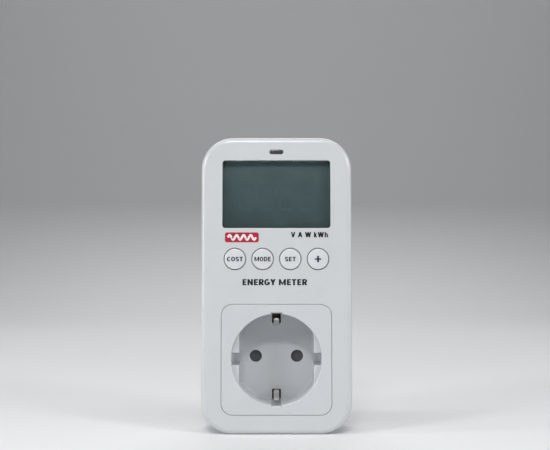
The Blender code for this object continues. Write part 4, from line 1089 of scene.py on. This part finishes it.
def dress(node, material, edge=0.12):
    """Keeps a CAD node, softens its edges by that many millimetres and gives it a finish."""
    obj = NODES[node]
    weld = obj.modifiers.new("weld", "WELD")
    weld.merge_threshold = 0.002 * MM
    if edge:
        bevel(obj, edge * MM)
    obj.data.materials.clear()
    obj.data.materials.append(material)


def dress_inside():
    """Finishes for the CAD nodes that no fine piece stands for."""
    epoxy = moulded_plastic("black_epoxy", (0.020, 0.020, 0.022), 0.48, grain=3500.0, depth=0.02)
    black_rubber = moulded_plastic("black_nylon", (0.030, 0.030, 0.032), 0.5)
    board = circuit_board()
    dress("metering_chip", capped("chip_with_legs", "metering_chip", "X", mm(1.25, 1.25),
                                  (0.022, 0.022, 0.024), (0.62, 0.62, 0.60)), 0.06)
    dress("controller_chip", epoxy)
    dress("display_board", board, 0.05)
    dress("power_board", board, 0.05)
    dress("timing_crystal", plated_metal("crystal_can", (0.70, 0.70, 0.70), 0.2), 0.0)
    dress("indicator_led", moulded_plastic("led_resin", (0.78, 0.70, 0.42), 0.15, coat=0.4), 0.1)
    dress("lcd_frame", black_rubber, 0.15)
    dress("backlight_panel", moulded_plastic("light_diffuser", (0.80, 0.82, 0.80), 0.3), 0.1)
    dress("zebra_strip", banded("zebra_rubber", [(0.42, 0.20, 0.20), (0.05, 0.05, 0.05)], 900.0, 0.7), 0.05)
    dress("ribbon_cable", banded("ribbon_insulation", [(0.50, 0.52, 0.54), (0.30, 0.31, 0.33)], 250.0, 0.5),
          0.05)
    for name in BUTTONS:
        dress(f"switch_plunger_{name}", black_rubber, 0.15)
        dress(f"switch_body_{name}", plated_metal(f"switch_tin_{name}", (0.60, 0.60, 0.58), 0.35), 0.1)
    dress("smoothing_capacitor", capped("capacitor_sleeve", "smoothing_capacitor", "Y", mm(0.02, -1.0),
                                        (0.02, 0.025, 0.07), (0.72, 0.72, 0.72), 0.3), 0.4)
    dress("fuse", capped("fuse_tube", "fuse", "X", mm(5.0, 5.0), (0.72, 0.70, 0.62), (0.70, 0.68, 0.62),
                         0.25), 0.15)
    dress("backup_battery", capped("battery_sleeve", "backup_battery", "Z", mm(0.5, 0.5),
                                   (0.03, 0.24, 0.12), (0.72, 0.71, 0.68), 0.3), 0.3)
    dress("dropper_capacitor", moulded_plastic("capacitor_box", (0.72, 0.52, 0.06), 0.4, depth=0.02), 0.2)
    coat = moulded_plastic("varistor_coat", (0.04, 0.14, 0.42), 0.3, grain=1800.0, depth=0.05)
    dress("varistor", coat, 0.1)
    dress("shunt_resistor", plated_metal("shunt_alloy", (0.50, 0.40, 0.32), 0.35), 0.0)
    dress("contact_carrier", moulded_plastic("phenolic", (0.045, 0.038, 0.034), 0.5, depth=0.02), 0.2)
    for node in ("live_contact", "neutral_contact", "earth_link"):
        dress(node, BRASS, 0.08)
    dress("live_wire", moulded_plastic("brown_insulation", (0.16, 0.07, 0.03), 0.4), 0.0)
    dress("neutral_wire", moulded_plastic("blue_insulation", (0.03, 0.10, 0.42), 0.4), 0.0)
    dress("shutter_spring", plated_metal("spring_wire", (0.62, 0.62, 0.63), 0.25), 0.0)
    for board_name in ("display_board", "power_board", "carrier"):
        for side in ("left", "right"):
            dress(f"{board_name}_screw_{side}", ZINC, 0.1)


# -------- stage, light and camera

def make_stage():
    """A paper sweep: a floor just under the case that bends up into a wall behind it."""
    floor_z = SHELL_LOW.z - 0.02 * MM
    half_width, front, back, bend, height = 4.0, -4.0, 1.6, 0.8, 3.0
    line = [(front, floor_z), *arc(bend, -90.0, 0.0, 12, (back - bend, floor_z + bend)),
            (back, floor_z + height)]
    bm = bmesh.new()
    rows = [[bm.verts.new((x, y, z)) for x in (-half_width, half_width)] for y, z in line]
    for a, b in zip(rows, rows[1:]):
        bm.faces.new((a[0], a[1], b[1], b[0]))
    sweep = from_bmesh("studio_sweep", bm)
    sweep.data.shade_smooth()
    material = new_material("studio_paper", (0.78, 0.79, 0.80), 0.85)
    tint(material, noise(material, 900.0, 3.0), [(0.77, 0.78, 0.79), (0.79, 0.80, 0.81)])
    sweep.data.materials.append(material)


def area_light(name, azimuth, elevation, distance, size, power):
    """An area light that looks at the case's front. Azimuth 0 is in front, and 90 is on the right."""
    light = bpy.data.lights.new(name, "AREA")
    light.shape = "RECTANGLE"
    light.size, light.size_y = size
    light.energy = power
    obj = link(name, light)
    a, e = math.radians(azimuth), math.radians(elevation)
    away = Vector((math.sin(a) * math.cos(e), -math.cos(a) * math.cos(e), math.sin(e)))
    obj.location = Vector((0.0, FRONT_Y, CASE_Z)) + away * distance
    obj.rotation_mode = "QUATERNION"
    obj.rotation_quaternion = (-away).to_track_quat("-Z", "Y")


def make_lights():
    """Two soft keys at the sides and one in front, two edge strips, one from above and one from behind."""
    world = bpy.data.worlds.new("studio")
    bpy.context.scene.world = world
    world.use_nodes = True
    background = world.node_tree.nodes["Background"]
    background.inputs["Color"].default_value = (0.92, 0.94, 0.96, 1.0)
    background.inputs["Strength"].default_value = 0.095
    area_light("key_front", -4.0, 38.0, 1.1, (0.26, 0.08), 3.7)
    area_light("key_left", -52.0, 21.0, 1.1, (0.22, 0.26), 3.3)
    area_light("key_right", 52.0, 21.0, 1.1, (0.22, 0.26), 3.5)
    area_light("strip_left", -80.0, 5.0, 1.0, (0.08, 0.8), 4.0)
    area_light("strip_right", 80.0, 5.0, 1.0, (0.08, 0.8), 2.0)
    area_light("top_soft", -8.0, 74.0, 1.0, (1.0, 0.10), 3.0)
    area_light("rim_back", 180.0, 36.0, 1.2, (1.0, 0.6), 4.5)


def make_camera():
    """A camera a little above the case's middle, looking slightly up."""
    distance, tilt = 400.8 * MM, 2.94
    camera = bpy.data.cameras.new("camera")
    camera.sensor_width = 36.0
    camera.lens = 59.3
    camera.dof.use_dof = False
    camera.clip_start, camera.clip_end = 0.01, 20.0
    obj = link("camera", camera)
    obj.location = (-0.64 * MM, FRONT_Y - distance, CASE_Z + 5.9 * MM)
    obj.rotation_euler = (math.radians(90.0 + tilt), 0.0, 0.0)
    bpy.context.scene.camera = obj


make_front_case()
make_back_case()
make_label_plate()
make_case_screws()
make_window()
make_lcd()
make_indicator()
make_face_print()
make_buttons()
make_socket_insert()
make_earth_straps()
make_shutter()
make_plug()
make_pins()
dress_inside()
make_stage()
make_lights()
make_camera()
bpy.context.scene.view_settings.view_transform = "Standard"
bpy.context.view_layer.update()


def corners(bounds):
    return [list(corner) for corner in bounds]
